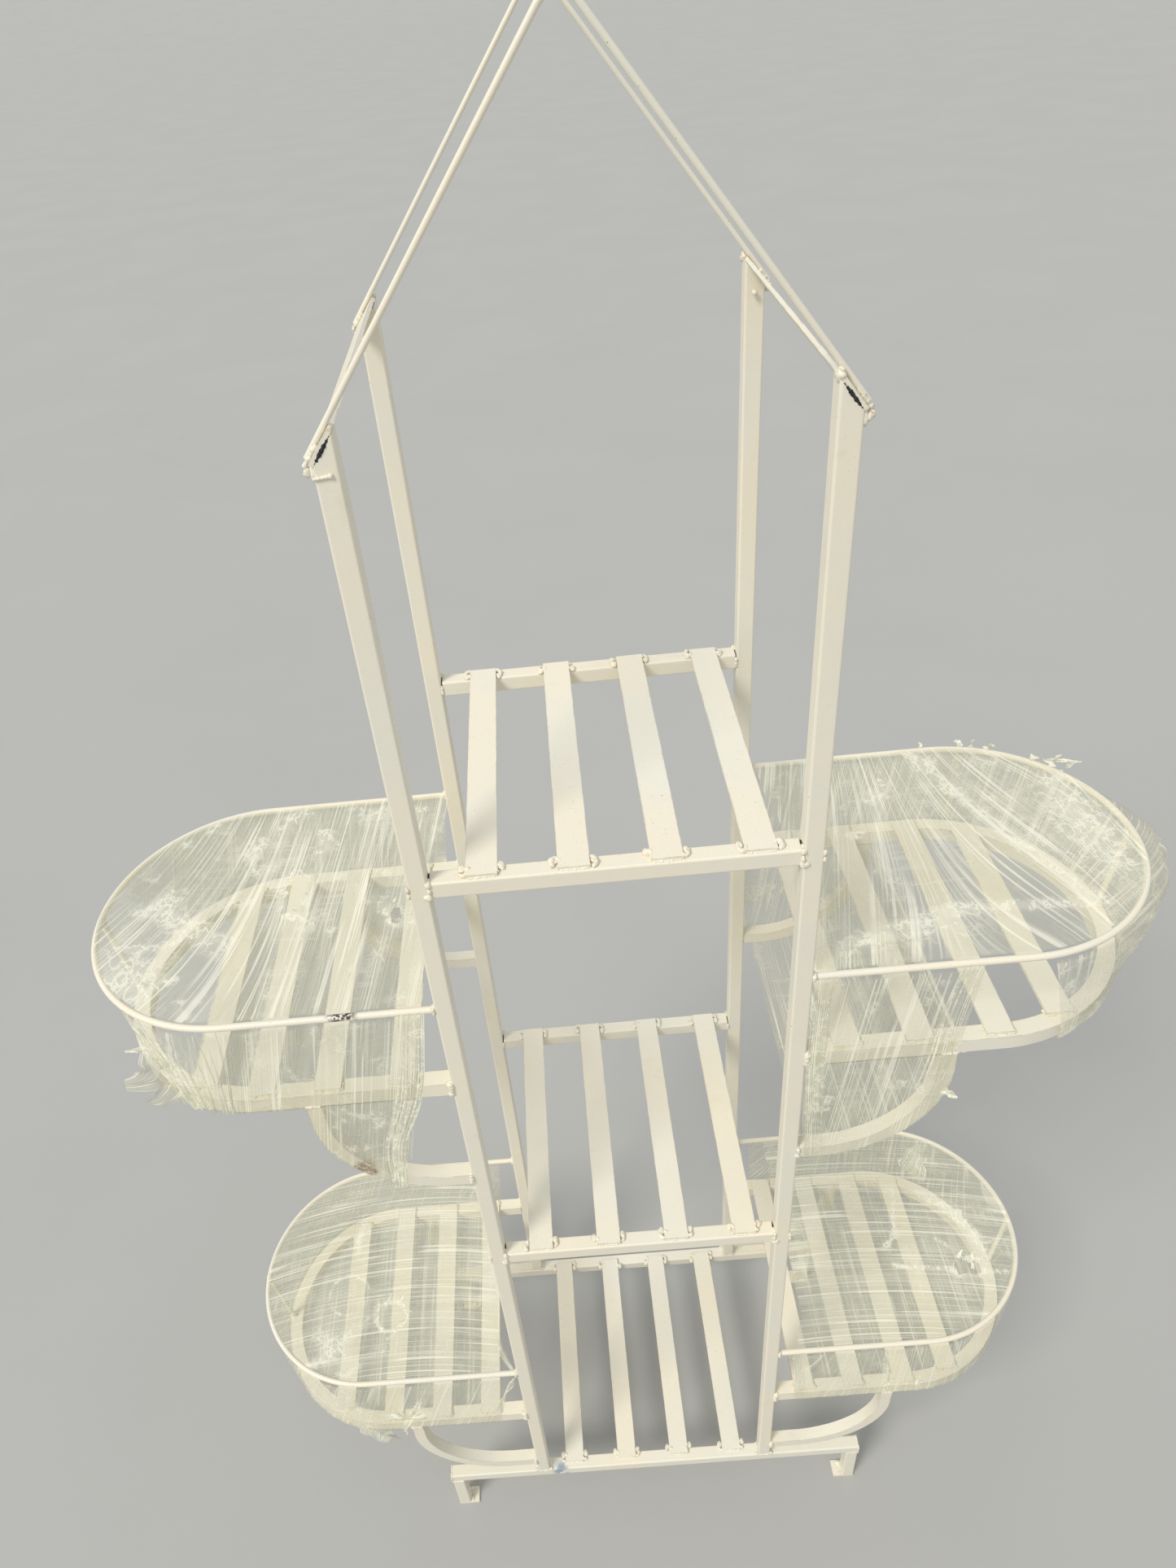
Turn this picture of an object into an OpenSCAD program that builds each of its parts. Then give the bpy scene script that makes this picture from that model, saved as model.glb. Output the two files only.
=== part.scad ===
// Plant trolley: a welded stand of square tube with three slatted shelves,
// two round-ended baskets on each side, and a wire roof frame on top.
// Millimetres. The origin is on the ground, under the middle of the stand.
// +X is to the right, +Y to the back and +Z up.

/* [Stand] */
// Width over the outer faces of the uprights
frame_w = 320; // [280:10:400]
// Depth over the front and back faces of the tubes
frame_d = 300; // [260:10:340]
// Outer size of the square tube
tube = 16; // [14:1:20]
// Wall of the square tube
tube_wall = 1.5; // [1:0.1:2]
// Length of a base bar, which reaches out on both sides as a foot
base_w = 564; // [480:4:640]
// Height of the top face of the base bars
base_z = 96; // [70:2:140]
// Height of the top face of the middle shelf bars
mid_z = 668; // [560:4:700]
// Height of the top face of the top shelf bars
top_z = 1214; // [1160:4:1260]
// Height of an upright at its outer top edge
upright_z = 1548; // [1400:4:1600]
// Slope of the roof, which the tops of the uprights are cut to
roof_angle = 53; // [40:1:60]
// Gap left at each end of a shelf bar
bar_gap = 1.2; // [0:0.1:2]

/* [Slats] */
// Width of the flat bar
flat_w = 25; // [18:1:30]
// Thickness of the flat bar
flat_t = 3; // [2:0.5:5]
// Distance between the slats of the top shelf
top_pitch = 71.5; // [50:0.5:75]
// Shift of the top shelf's slats to the right
top_shift = 5; // [-6:1:6]
// Distance between the slats of the middle shelf
mid_pitch = 72.5; // [50:0.5:75]
// Shift of the middle shelf's slats to the right
mid_shift = 4; // [-6:1:6]
// Distance between the slats of the base
base_pitch = 72.5; // [50:0.5:75]
// How far the ends of a shelf slat stop short of the bars' outer faces
shelf_setback = 2.5; // [1:0.5:6]
// How far the ends of a base slat stop short of the bars' outer faces
base_setback = 8; // [2:0.5:12]

/* [Baskets] */
// Diameter of the rim rod and of its post
rim_rod = 6.4; // [5:0.1:8]
// Height of the centre line of an upper rim
upper_rim_z = 1066; // [1040:2:1100]
// Height of the centre line of a lower rim
lower_rim_z = 386; // [360:2:420]
// Height of the top face of an upper floor frame
upper_floor_z = 968; // [940:2:980]
// Height of the top face of a lower floor frame
lower_floor_z = 280; // [260:2:300]
// Straight part of a rim, out from the upright
rim_straight = 186; // [170:2:210]
// Straight part of a floor frame, out from the upright
floor_straight = 176; // [160:2:200]
// How far the ends of a floor slat stop short of the floor frame's outer edge
floor_setback = 3; // [2:0.5:6]
// How far the rim's centre line lies inside the stand's front and back faces
rim_inset = 4; // [3.5:0.5:8]
// Space between the foot of a rim post and the floor frame's outer face
post_gap = 0.3; // [0:0.1:1]

/* [Brackets] */
// Size of the bracket tube
bracket = 14; // [12:1:16]
// Radius of the outside of the bracket's bend
bend_r = 116; // [90:2:130]
// Height of the underside of an upper bracket
upper_bracket_z = 808; // [790:2:820]
// Height of the underside of a lower bracket
lower_bracket_z = 120; // [112:2:126]
// Straight part of an upper bracket, out from the upright
upper_bracket_straight = 20; // [10:2:40]
// Straight part of a lower bracket, out from the upright
lower_bracket_straight = 34; // [10:2:60]

/* [Roof] */
// Diameter of the roof wire
roof_rod = 4; // [3:0.5:6]
// Radius of the roof wire's bend over the ridge, to its centre line
ridge_bend = 12; // [8:1:20]

/* [Feet] */
// Length of a foot pad, along the base bar
pad_l = 28; // [20:1:40]
// Width of a foot pad
pad_w = 20; // [16:1:30]
// Thickness of a foot pad
pad_t = 3; // [2:0.5:5]

/* [Film] */
// Thickness of a film wrap
film_t = 0.5; // [0.4:0.1:1]
// Space between the film and the metal inside it
film_gap = 0.5; // [0.4:0.1:1]
// Distance from the stand's middle to the film's inner edge at the rim
film_start = 182; // [175:1:200]
// Distance from the stand's middle to the film's inner edge at the lower end
film_low_start = 224; // [200:2:240]

/* [Hidden] */

// Middles of each basket's four floor slats, out from the stand's middle
upper_left_slats = [204, 273, 334, 389];
upper_right_slats = [197, 262, 333, 392];
lower_left_slats = [205, 268, 331, 396];
lower_right_slats = [198, 260, 324, 382];

half_w = frame_w / 2;
half_d = frame_d / 2;
rim_r = rim_rod / 2;
roof_r = roof_rod / 2;
corner_r = 2;
leg_h = base_z - tube;
vent_d = tube - 4;
inner_half = half_w - tube;
rim_bend = half_d - rim_inset;
floor_bend = half_d;
rim_centre_x = half_w + rim_straight;
floor_centre_x = half_w + floor_straight;
rim_end_x = rim_centre_x + rim_bend;
post_foot_x = floor_centre_x + floor_bend - rim_r - post_gap;
roof_y = half_d - tube / 2;
// Middle of an upright's sloping top, and the roof wire's axis above the strap
slope_x = half_w - tube / 2;
slope_z = upright_z + tube / 2 * tan(roof_angle);
rod_rise = flat_t + roof_r;
rod_foot_x = slope_x + flat_w / 2 * cos(roof_angle) + rod_rise * sin(roof_angle);
rod_foot_z = slope_z - flat_w / 2 * sin(roof_angle) + rod_rise * cos(roof_angle);
rod_len = rod_foot_x / cos(roof_angle) - ridge_bend * tan(roof_angle);
bend_centre_z = rod_foot_z + rod_foot_x * tan(roof_angle) - ridge_bend / cos(roof_angle);
cream = [0.87, 0.85, 0.76];
haze = [0.75, 0.77, 0.68, 0.5];
$fn = 64;

// Outline of the square tube, with its rounded corners
module tube_outline(size, r) {
    union() {
        square([size - 2 * r, size], center = true);
        square([size, size - 2 * r], center = true);
        for (sx = [-1, 1], sy = [-1, 1])
            translate([sx * (size / 2 - r), sy * (size / 2 - r)])
                circle(r, $fn = 24);
    }
}

// Square tube of length len along +Z, hollow and open at both ends
module square_tube(len, size = tube) {
    difference() {
        linear_extrude(len) tube_outline(size, corner_r);
        translate([0, 0, -1])
            linear_extrude(len + 2) square(size - 2 * tube_wall, center = true);
    }
}

// Square tube centred on the origin, along X
module bar_x(len) {
    translate([-len / 2, 0, 0])
        rotate([0, 90, 0]) square_tube(len);
}

// Flat bar centred on the origin, along Y
module flat_y(len) {
    cube([flat_w, len, flat_t], center = true);
}

// Mirrors its children to the left side when side is -1
module on_side(side) {
    mirror([side < 0 ? 1 : 0, 0, 0]) children();
}

// Mirrors its children to the back when row is 1
module on_row(row) {
    mirror([0, row > 0 ? 1 : 0, 0]) children();
}

module upright(side, row) {
    color(cream) on_side(side) on_row(row)
        difference() {
            translate([half_w - tube / 2, -half_d + tube / 2, base_z])
                square_tube(upright_z + 2 * tube - base_z);
            translate([half_w, 0, upright_z])
                rotate([0, roof_angle, 0])
                    translate([-tube * 3, -frame_d, 0]) cube([tube * 6, 2 * frame_d, tube * 3]);
        }
}

// Closed at its outer ends, with a hole above each leg
module base_bar(row) {
    color(cream) on_row(row)
        translate([0, -half_d + tube / 2, base_z - tube / 2])
            difference() {
                rotate([0, 90, 0])
                    translate([0, 0, -base_w / 2]) linear_extrude(base_w) tube_outline(tube, corner_r);
                cube([base_w - 2 * tube_wall, tube - 2 * tube_wall, tube - 2 * tube_wall], center = true);
                for (side = [-1, 1])
                    translate([side * (base_w / 2 - tube / 2), 0, -tube / 2 - 1])
                        cylinder(tube / 2 + 1, d = vent_d);
            }
}

module leg(side, row) {
    color(cream) on_side(side) on_row(row)
        translate([base_w / 2 - tube / 2, -half_d + tube / 2, pad_t])
            square_tube(leg_h - pad_t);
}

module foot_pads() {
    color(cream) for (side = [-1, 1], row = [-1, 1])
        on_side(side) on_row(row)
            translate([base_w / 2 - pad_l, -half_d, 0]) cube([pad_l, pad_w, pad_t]);
}

module shelf_bar(top, row) {
    color(cream) on_row(row)
        translate([0, -half_d + tube / 2, top - tube / 2])
            bar_x(2 * (inner_half - bar_gap));
}

module shelf_slat(place, pitch, shift, top, setback) {
    color(cream) translate([shift + (place - 2.5) * pitch, 0, top + flat_t / 2])
        flat_y(frame_d - 2 * setback);
}

// Flat shape with a straight part and a round end, between two radii
module round_end(centre_x, outer, inner) {
    difference() {
        union() {
            translate([half_w, -outer]) square([centre_x - half_w, 2 * outer]);
            translate([centre_x, 0]) circle(outer, $fn = 128);
        }
        translate([half_w - 1, -inner]) square([centre_x - half_w + 1, 2 * inner]);
        translate([centre_x, 0]) circle(inner, $fn = 128);
        translate([half_w - 2 * outer, -2 * outer]) square([2 * outer, 4 * outer]);
    }
}

// Hollow square tube bent round the end of a basket
module floor_frame(side, top) {
    color(cream) on_side(side)
        translate([0, 0, top - tube])
            difference() {
                linear_extrude(tube)
                    round_end(floor_centre_x, floor_bend, floor_bend - tube);
                translate([0, 0, tube_wall])
                    linear_extrude(tube - 2 * tube_wall)
                        round_end(floor_centre_x, floor_bend - tube_wall, floor_bend - tube + tube_wall);
            }
}

// Half width of the floor frame's outer edge at distance x
function floor_half(x) =
    x <= floor_centre_x ? floor_bend : sqrt(pow(floor_bend, 2) - pow(x - floor_centre_x, 2));

module floor_slats(side, top, places) {
    color(cream) on_side(side)
        for (x = places)
            translate([x, 0, top + flat_t / 2])
                flat_y(2 * (floor_half(x + flat_w / 2) - floor_setback));
}

module rim(side, z) {
    color(cream) on_side(side) translate([0, 0, z])
        union() {
            for (row = [-1, 1])
                translate([half_w, row * rim_bend, 0])
                    rotate([0, 90, 0]) cylinder(rim_straight, r = rim_r, $fn = 32);
            translate([rim_centre_x, 0, 0]) rotate([0, 0, -90])
                rotate_extrude(angle = 180, $fn = 128)
                    translate([rim_bend, 0]) circle(rim_r, $fn = 32);
        }
}

// Rod that holds the rim's round end up from the floor frame
module rim_post(side, rim_z, floor_z) {
    rise = rim_z - floor_z;
    run = rim_end_x - post_foot_x;
    color(cream) on_side(side)
        intersection() {
            translate([post_foot_x, 0, floor_z])
                rotate([0, atan(run / rise), 0])
                    translate([0, 0, -rim_rod]) cylinder(2 * rise, r = rim_r, $fn = 32);
            translate([post_foot_x - 2 * rim_rod, -rim_rod, floor_z])
                cube([6 * rim_rod, 2 * rim_rod, rise - rim_r]);
        }
}

// Side outline of a bracket: straight out, round the bend and up to the floor frame.
// The wall is taken off all round, and run_out lengthens both open ends.
module bracket_outline(bottom, straight, top, wall, run_out) {
    bend_x = half_w + straight;
    bend_z = bottom + bend_r;
    outer = bend_r - wall;
    inner = bend_r - bracket + wall;
    union() {
        translate([half_w - run_out, bottom + wall]) square([straight + run_out, outer - inner]);
        intersection() {
            difference() {
                translate([bend_x, bend_z]) circle(outer, $fn = 128);
                translate([bend_x, bend_z]) circle(inner, $fn = 128);
            }
            translate([bend_x, bend_z - outer]) square([outer, outer]);
        }
        translate([bend_x + inner, bend_z]) square([outer - inner, top - bend_z + run_out]);
    }
}

// Hollow square tube, bent a quarter turn, in the plane of the front or back tubes
module bracket_arm(side, row, bottom, straight, top) {
    color(cream) on_side(side) on_row(row)
        translate([0, -half_d + bracket, 0]) rotate([90, 0, 0])
            difference() {
                linear_extrude(bracket) bracket_outline(bottom, straight, top, 0, 0);
                translate([0, 0, tube_wall])
                    linear_extrude(bracket - 2 * tube_wall)
                        bracket_outline(bottom, straight, top, tube_wall, 1);
            }
}

module upper_bracket(side, row) {
    bracket_arm(side, row, upper_bracket_z, upper_bracket_straight, upper_floor_z - tube);
}

module lower_bracket(side, row) {
    bracket_arm(side, row, lower_bracket_z, lower_bracket_straight, lower_floor_z - tube);
}

// Flat bar that lies on the sloping tops of two uprights
module eave_strap(side) {
    color(cream) on_side(side)
        translate([slope_x, 0, slope_z]) rotate([0, roof_angle, 0])
            translate([0, 0, flat_t / 2]) cube([flat_w, frame_d, flat_t], center = true);
}

// Wire bent over the ridge, from strap to strap
module roof_wire(row) {
    color(cream) on_row(row) translate([0, -roof_y, bend_centre_z])
        union() {
            for (side = [-1, 1])
                rotate([0, side * roof_angle, 0])
                    translate([0, 0, ridge_bend]) rotate([0, side * 90, 0])
                        cylinder(rod_len, r = roof_r, $fn = 32);
            rotate([90, 0, 0]) rotate([0, 0, 90 - roof_angle])
                rotate_extrude(angle = 2 * roof_angle)
                    translate([ridge_bend, 0]) circle(roof_r, $fn = 32);
        }
}

// Wire along the ridge, between the two bent wires
module ridge_wire() {
    color(cream) translate([0, -roof_y + roof_r, bend_centre_z + ridge_bend])
        rotate([-90, 0, 0]) cylinder(2 * (roof_y - roof_r), r = roof_r, $fn = 32);
}

// Plan of the space inside a film wrap, grown by a margin
module film_plan(margin) {
    radius = half_d + film_gap + margin;
    union() {
        translate([half_w, -radius]) square([rim_straight, 2 * radius]);
        translate([rim_centre_x, 0]) circle(radius, $fn = 128);
    }
}

// Side outline of a film wrap from the rim down to the underside of the floor frame
module film_side_short(rim_z, floor_z, margin) {
    low = floor_z - tube - film_gap - margin;
    high = rim_z + rim_r + 2 * film_gap + margin;
    translate([0, low]) square([2 * rim_end_x, high - low]);
}

// Side outline of a film wrap that goes on down round the brackets
module film_side_long(rim_z, floor_z, bottom, straight, margin) {
    union() {
        film_side_short(rim_z, floor_z, margin);
        intersection() {
            union() {
                translate([half_w + straight, bottom + bend_r])
                    circle(bend_r + film_gap + margin, $fn = 128);
                translate([half_w, bottom - film_gap - margin])
                    square([straight, bend_r + film_gap + margin]);
                translate([half_w, bottom + bend_r])
                    square([straight + bend_r + film_gap + margin, floor_z - bottom - bend_r]);
            }
            translate([half_w, bottom - 2 * bend_r]) square([4 * bend_r, floor_z - bottom + 2 * bend_r]);
        }
    }
}

// Solid of a side outline, cut to the plan
module film_solid(margin) {
    intersection() {
        translate([0, frame_d, 0]) rotate([90, 0, 0]) linear_extrude(2 * frame_d) children();
        linear_extrude(upright_z) film_plan(margin);
    }
}

// Cuts the film back to its inner edge, which runs from the rim to the lower end
module film_edge_cut(rim_z, low_z) {
    high = rim_z + 4 * rim_rod;
    translate([0, frame_d, 0]) rotate([90, 0, 0]) linear_extrude(2 * frame_d)
        polygon([[0, high], [film_start, high], [film_start, rim_z - rim_rod],
            [film_low_start, low_z], [film_low_start, low_z - bend_r], [0, low_z - bend_r]]);
}

// Film round an upper basket and its two brackets, open towards the stand
module film_upper(side) {
    color(haze) on_side(side)
        difference() {
            film_solid(film_t)
                film_side_long(upper_rim_z, upper_floor_z, upper_bracket_z, upper_bracket_straight, film_t);
            film_solid(0)
                film_side_long(upper_rim_z, upper_floor_z, upper_bracket_z, upper_bracket_straight, 0);
            film_edge_cut(upper_rim_z, upper_bracket_z);
        }
}

// Film round a lower basket, open towards the stand, with room for the bracket tops
module film_lower(side) {
    room = 2 * film_gap;
    arm_x = half_w + lower_bracket_straight + bend_r - bracket;
    color(haze) on_side(side)
        difference() {
            film_solid(film_t) film_side_short(lower_rim_z, lower_floor_z, film_t);
            film_solid(0) film_side_short(lower_rim_z, lower_floor_z, 0);
            translate([0, -frame_d, 0]) cube([film_start + 10, 2 * frame_d, upright_z]);
            for (row = [-1, 1])
                on_row(row)
                    translate([arm_x - room, -half_d - 2 * tube, lower_floor_z - 2 * tube])
                        cube([bracket + 2 * room, 2 * tube + bracket + room, 2 * tube - film_gap - tube]);
        }
}

upright(-1, -1);  // upright_front_left
upright(1, -1);  // upright_front_right
upright(-1, 1);  // upright_back_left
upright(1, 1);  // upright_back_right
base_bar(-1);  // base_bar_front
base_bar(1);  // base_bar_back
leg(-1, -1);  // leg_front_left
leg(1, -1);  // leg_front_right
leg(-1, 1);  // leg_back_left
leg(1, 1);  // leg_back_right
foot_pads();
shelf_bar(mid_z, -1);  // mid_bar_front
shelf_bar(mid_z, 1);  // mid_bar_back
shelf_bar(top_z, -1);  // top_bar_front
shelf_bar(top_z, 1);  // top_bar_back
shelf_slat(1, base_pitch, 0, base_z, base_setback);  // base_slat_1
shelf_slat(2, base_pitch, 0, base_z, base_setback);  // base_slat_2
shelf_slat(3, base_pitch, 0, base_z, base_setback);  // base_slat_3
shelf_slat(4, base_pitch, 0, base_z, base_setback);  // base_slat_4
shelf_slat(1, mid_pitch, mid_shift, mid_z, shelf_setback);  // mid_slat_1
shelf_slat(2, mid_pitch, mid_shift, mid_z, shelf_setback);  // mid_slat_2
shelf_slat(3, mid_pitch, mid_shift, mid_z, shelf_setback);  // mid_slat_3
shelf_slat(4, mid_pitch, mid_shift, mid_z, shelf_setback);  // mid_slat_4
shelf_slat(1, top_pitch, top_shift, top_z, shelf_setback);  // top_slat_1
shelf_slat(2, top_pitch, top_shift, top_z, shelf_setback);  // top_slat_2
shelf_slat(3, top_pitch, top_shift, top_z, shelf_setback);  // top_slat_3
shelf_slat(4, top_pitch, top_shift, top_z, shelf_setback);  // top_slat_4
floor_frame(-1, upper_floor_z);  // floor_frame_upper_left
floor_frame(1, upper_floor_z);  // floor_frame_upper_right
floor_frame(-1, lower_floor_z);  // floor_frame_lower_left
floor_frame(1, lower_floor_z);  // floor_frame_lower_right
floor_slats(-1, upper_floor_z, upper_left_slats);  // floor_slats_upper_left
floor_slats(1, upper_floor_z, upper_right_slats);  // floor_slats_upper_right
floor_slats(-1, lower_floor_z, lower_left_slats);  // floor_slats_lower_left
floor_slats(1, lower_floor_z, lower_right_slats);  // floor_slats_lower_right
rim(-1, upper_rim_z);  // rim_upper_left
rim(1, upper_rim_z);  // rim_upper_right
rim(-1, lower_rim_z);  // rim_lower_left
rim(1, lower_rim_z);  // rim_lower_right
rim_post(-1, upper_rim_z, upper_floor_z);  // rim_post_upper_left
rim_post(1, upper_rim_z, upper_floor_z);  // rim_post_upper_right
rim_post(-1, lower_rim_z, lower_floor_z);  // rim_post_lower_left
rim_post(1, lower_rim_z, lower_floor_z);  // rim_post_lower_right
upper_bracket(-1, -1);  // bracket_upper_left_front
upper_bracket(-1, 1);  // bracket_upper_left_back
upper_bracket(1, -1);  // bracket_upper_right_front
upper_bracket(1, 1);  // bracket_upper_right_back
lower_bracket(-1, -1);  // bracket_lower_left_front
lower_bracket(-1, 1);  // bracket_lower_left_back
lower_bracket(1, -1);  // bracket_lower_right_front
lower_bracket(1, 1);  // bracket_lower_right_back
eave_strap(-1);  // eave_strap_left
eave_strap(1);  // eave_strap_right
roof_wire(-1);  // roof_rod_front
roof_wire(1);  // roof_rod_back
ridge_wire();  // ridge_rod
film_upper(-1);  // film_upper_left
film_upper(1);  // film_upper_right
film_lower(-1);  // film_lower_left
film_lower(1);  // film_lower_right
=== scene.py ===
import math
import random
import bpy
import numpy as np
from mathutils import Matrix, Vector, noise


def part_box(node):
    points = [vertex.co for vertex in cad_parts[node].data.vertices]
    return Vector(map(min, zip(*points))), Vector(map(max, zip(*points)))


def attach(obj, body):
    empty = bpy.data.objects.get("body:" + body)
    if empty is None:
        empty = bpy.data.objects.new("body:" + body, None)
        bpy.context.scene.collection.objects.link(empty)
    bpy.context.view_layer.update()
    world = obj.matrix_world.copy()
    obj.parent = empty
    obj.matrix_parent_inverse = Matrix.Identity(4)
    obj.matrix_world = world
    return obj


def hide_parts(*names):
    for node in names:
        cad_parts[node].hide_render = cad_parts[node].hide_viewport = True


# The looks of the plant trolley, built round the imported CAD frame.
# Metres. +X is to the right, +Y to the back and +Z up; the floor is at zero.
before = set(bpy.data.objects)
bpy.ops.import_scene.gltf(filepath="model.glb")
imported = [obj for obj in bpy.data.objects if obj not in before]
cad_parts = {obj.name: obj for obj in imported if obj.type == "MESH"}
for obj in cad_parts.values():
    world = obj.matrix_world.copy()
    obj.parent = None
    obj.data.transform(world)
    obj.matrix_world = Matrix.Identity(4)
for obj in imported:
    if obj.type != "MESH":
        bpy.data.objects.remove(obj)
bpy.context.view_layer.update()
MM = 0.001
SIDES = (("left", -1), ("right", 1))
ROWS = (("front", -1), ("back", 1))
LEVELS = ("upper", "lower")

# Camera: place, the turns about Z, X and Z again, and the lens
CAMERA_AT = (-28.1 * MM, -758.6 * MM, 1779.0 * MM)
CAMERA_YAW = 2.27
CAMERA_TILT = 53.00
CAMERA_ROLL = -6.73
CAMERA_LENS = 24.875
CAMERA_SENSOR = 36.0
CAMERA_SHIFT = (0.0348, -0.0130)

# Colours, linear
CREAM = (0.83, 0.77, 0.62, 1)
CREAM_COOL = (0.80, 0.77, 0.655, 1)
# The stain colour below serves real stains and also the painted shade in corners.
CREAM_STAIN_AND_SHADE = (0.62, 0.53, 0.37, 1)
SEAM = (0.33, 0.235, 0.12, 1)
DIRT = (0.17, 0.13, 0.085, 1)
RUST = (0.26, 0.10, 0.045, 1)
SCUFF = (0.025, 0.023, 0.02, 1)
BLUE_STAIN = (0.30, 0.36, 0.45, 1)
FLOOR_TONE = (0.43, 0.43, 0.415, 1)
FILM_HAZE = (0.465, 0.465, 0.335, 1)
FILM_LIGHT = (0.93, 0.91, 0.77, 1)


def soft_noise(x, y, seed):
    """Smooth noise from -1 to 1 over the plane, for arrays of points."""
    table = np.random.RandomState(seed).uniform(-1, 1, (256, 256))
    x, y = np.asarray(x, float), np.asarray(y, float)
    column, row = np.floor(x).astype(int), np.floor(y).astype(int)
    fx, fy = x - column, y - row
    fx, fy = fx * fx * (3 - 2 * fx), fy * fy * (3 - 2 * fy)
    near = table[column & 255, row & 255] * (1 - fx) + table[(column + 1) & 255, row & 255] * fx
    far = table[column & 255, (row + 1) & 255] * (1 - fx)
    far = far + table[(column + 1) & 255, (row + 1) & 255] * fx
    return near * (1 - fy) + far * fy


def rough_noise(x, y, seed, octaves=3):
    total, size = 0, 1.0
    for octave in range(octaves):
        total = total + soft_noise(x / size, y / size, seed + octave) * size
        size = size / 2
    return total / 1.75


def step(low, high, value):
    """0 below low, 1 above high, and smooth between."""
    part = np.clip((value - low) / (high - low), 0, 1)
    return part * part * (3 - 2 * part)


# ---------------------------------------------------------------- materials

class Shader:
    """A new material's node tree, filled a node at a time."""

    def __init__(self, name):
        self.material = bpy.data.materials.new(name)
        self.material.use_nodes = True
        self.tree = self.material.node_tree
        self.tree.nodes.clear()

    def node(self, kind, inputs=None, **settings):
        made = self.tree.nodes.new(kind)
        for key, value in settings.items():
            setattr(made, key, value)
        for key, value in (inputs or {}).items():
            if isinstance(value, bpy.types.NodeSocket):
                self.tree.links.new(value, made.inputs[key])
            else:
                made.inputs[key].default_value = value
        return made

    def noise(self, vector, scale, detail, roughness=0.55):
        made = self.node("ShaderNodeTexNoise", {
            "Vector": vector, "Scale": scale, "Detail": detail, "Roughness": roughness,
        })
        return made.outputs["Fac"]

    def band(self, value, low, high, to_low=0.0, to_high=1.0):
        made = self.node("ShaderNodeMapRange", {
            "Value": value, "From Min": low, "From Max": high, "To Min": to_low, "To Max": to_high,
        }, interpolation_type="SMOOTHSTEP")
        return made.outputs["Result"]

    def patches(self, vector, scale, detail, *ends):
        """Soft patches of a noise: ends are a band's."""
        return self.band(self.noise(vector, scale, detail), *ends)

    def math(self, operation, first, second):
        made = self.node("ShaderNodeMath", {0: first, 1: second}, operation=operation)
        return made.outputs[0]

    def times(self, first, second):
        return self.math("MULTIPLY", first, second)

    def plus(self, first, second):
        return self.math("ADD", first, second)

    def most(self, first, second):
        return self.math("MAXIMUM", first, second)

    def mix(self, share, first, second):
        made = self.node("ShaderNodeMix", {0: share, 6: first, 7: second}, data_type="RGBA")
        return made.outputs[2]

    def place(self):
        return self.node("ShaderNodeTexCoord").outputs["Object"]

    def stretched(self, vector, scale, turn=(0, 0, 0)):
        made = self.node("ShaderNodeMapping", {"Vector": vector, "Scale": scale, "Rotation": turn})
        return made.outputs["Vector"]

    def streaks(self, flow, along, across, detail=1, turn=0.0):
        """A noise on the flow map, with so many lumps to a metre along and across the pull."""
        return self.noise(self.stretched(flow, (along, across, 1.0), (0, 0, turn)), 1.0, detail, 0.5)

    def crease(self, value, width):
        """1 along the lines where a noise crosses its middle, which makes long thin threads."""
        gap = self.math("ABSOLUTE", self.math("SUBTRACT", value, 0.5), 0.0)
        return self.band(gap, width * 0.2, width, 1.0, 0.0)

    def near(self, vector, centre, inner, outer):
        """1 within inner of a point, 0 past outer."""
        gap = self.node("ShaderNodeVectorMath", {0: vector, 1: centre}, operation="DISTANCE")
        return self.band(gap.outputs["Value"], inner, outer, 1.0, 0.0)

    def finish(self, **inputs):
        """Ends the tree with the surface. Its sockets are named with _ for the spaces."""
        sockets = {name.replace("_", " "): value for name, value in inputs.items()}
        surface = self.node("ShaderNodeBsdfPrincipled", sockets).outputs[0]
        self.node("ShaderNodeOutputMaterial", {"Surface": surface})
        return self.material


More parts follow.
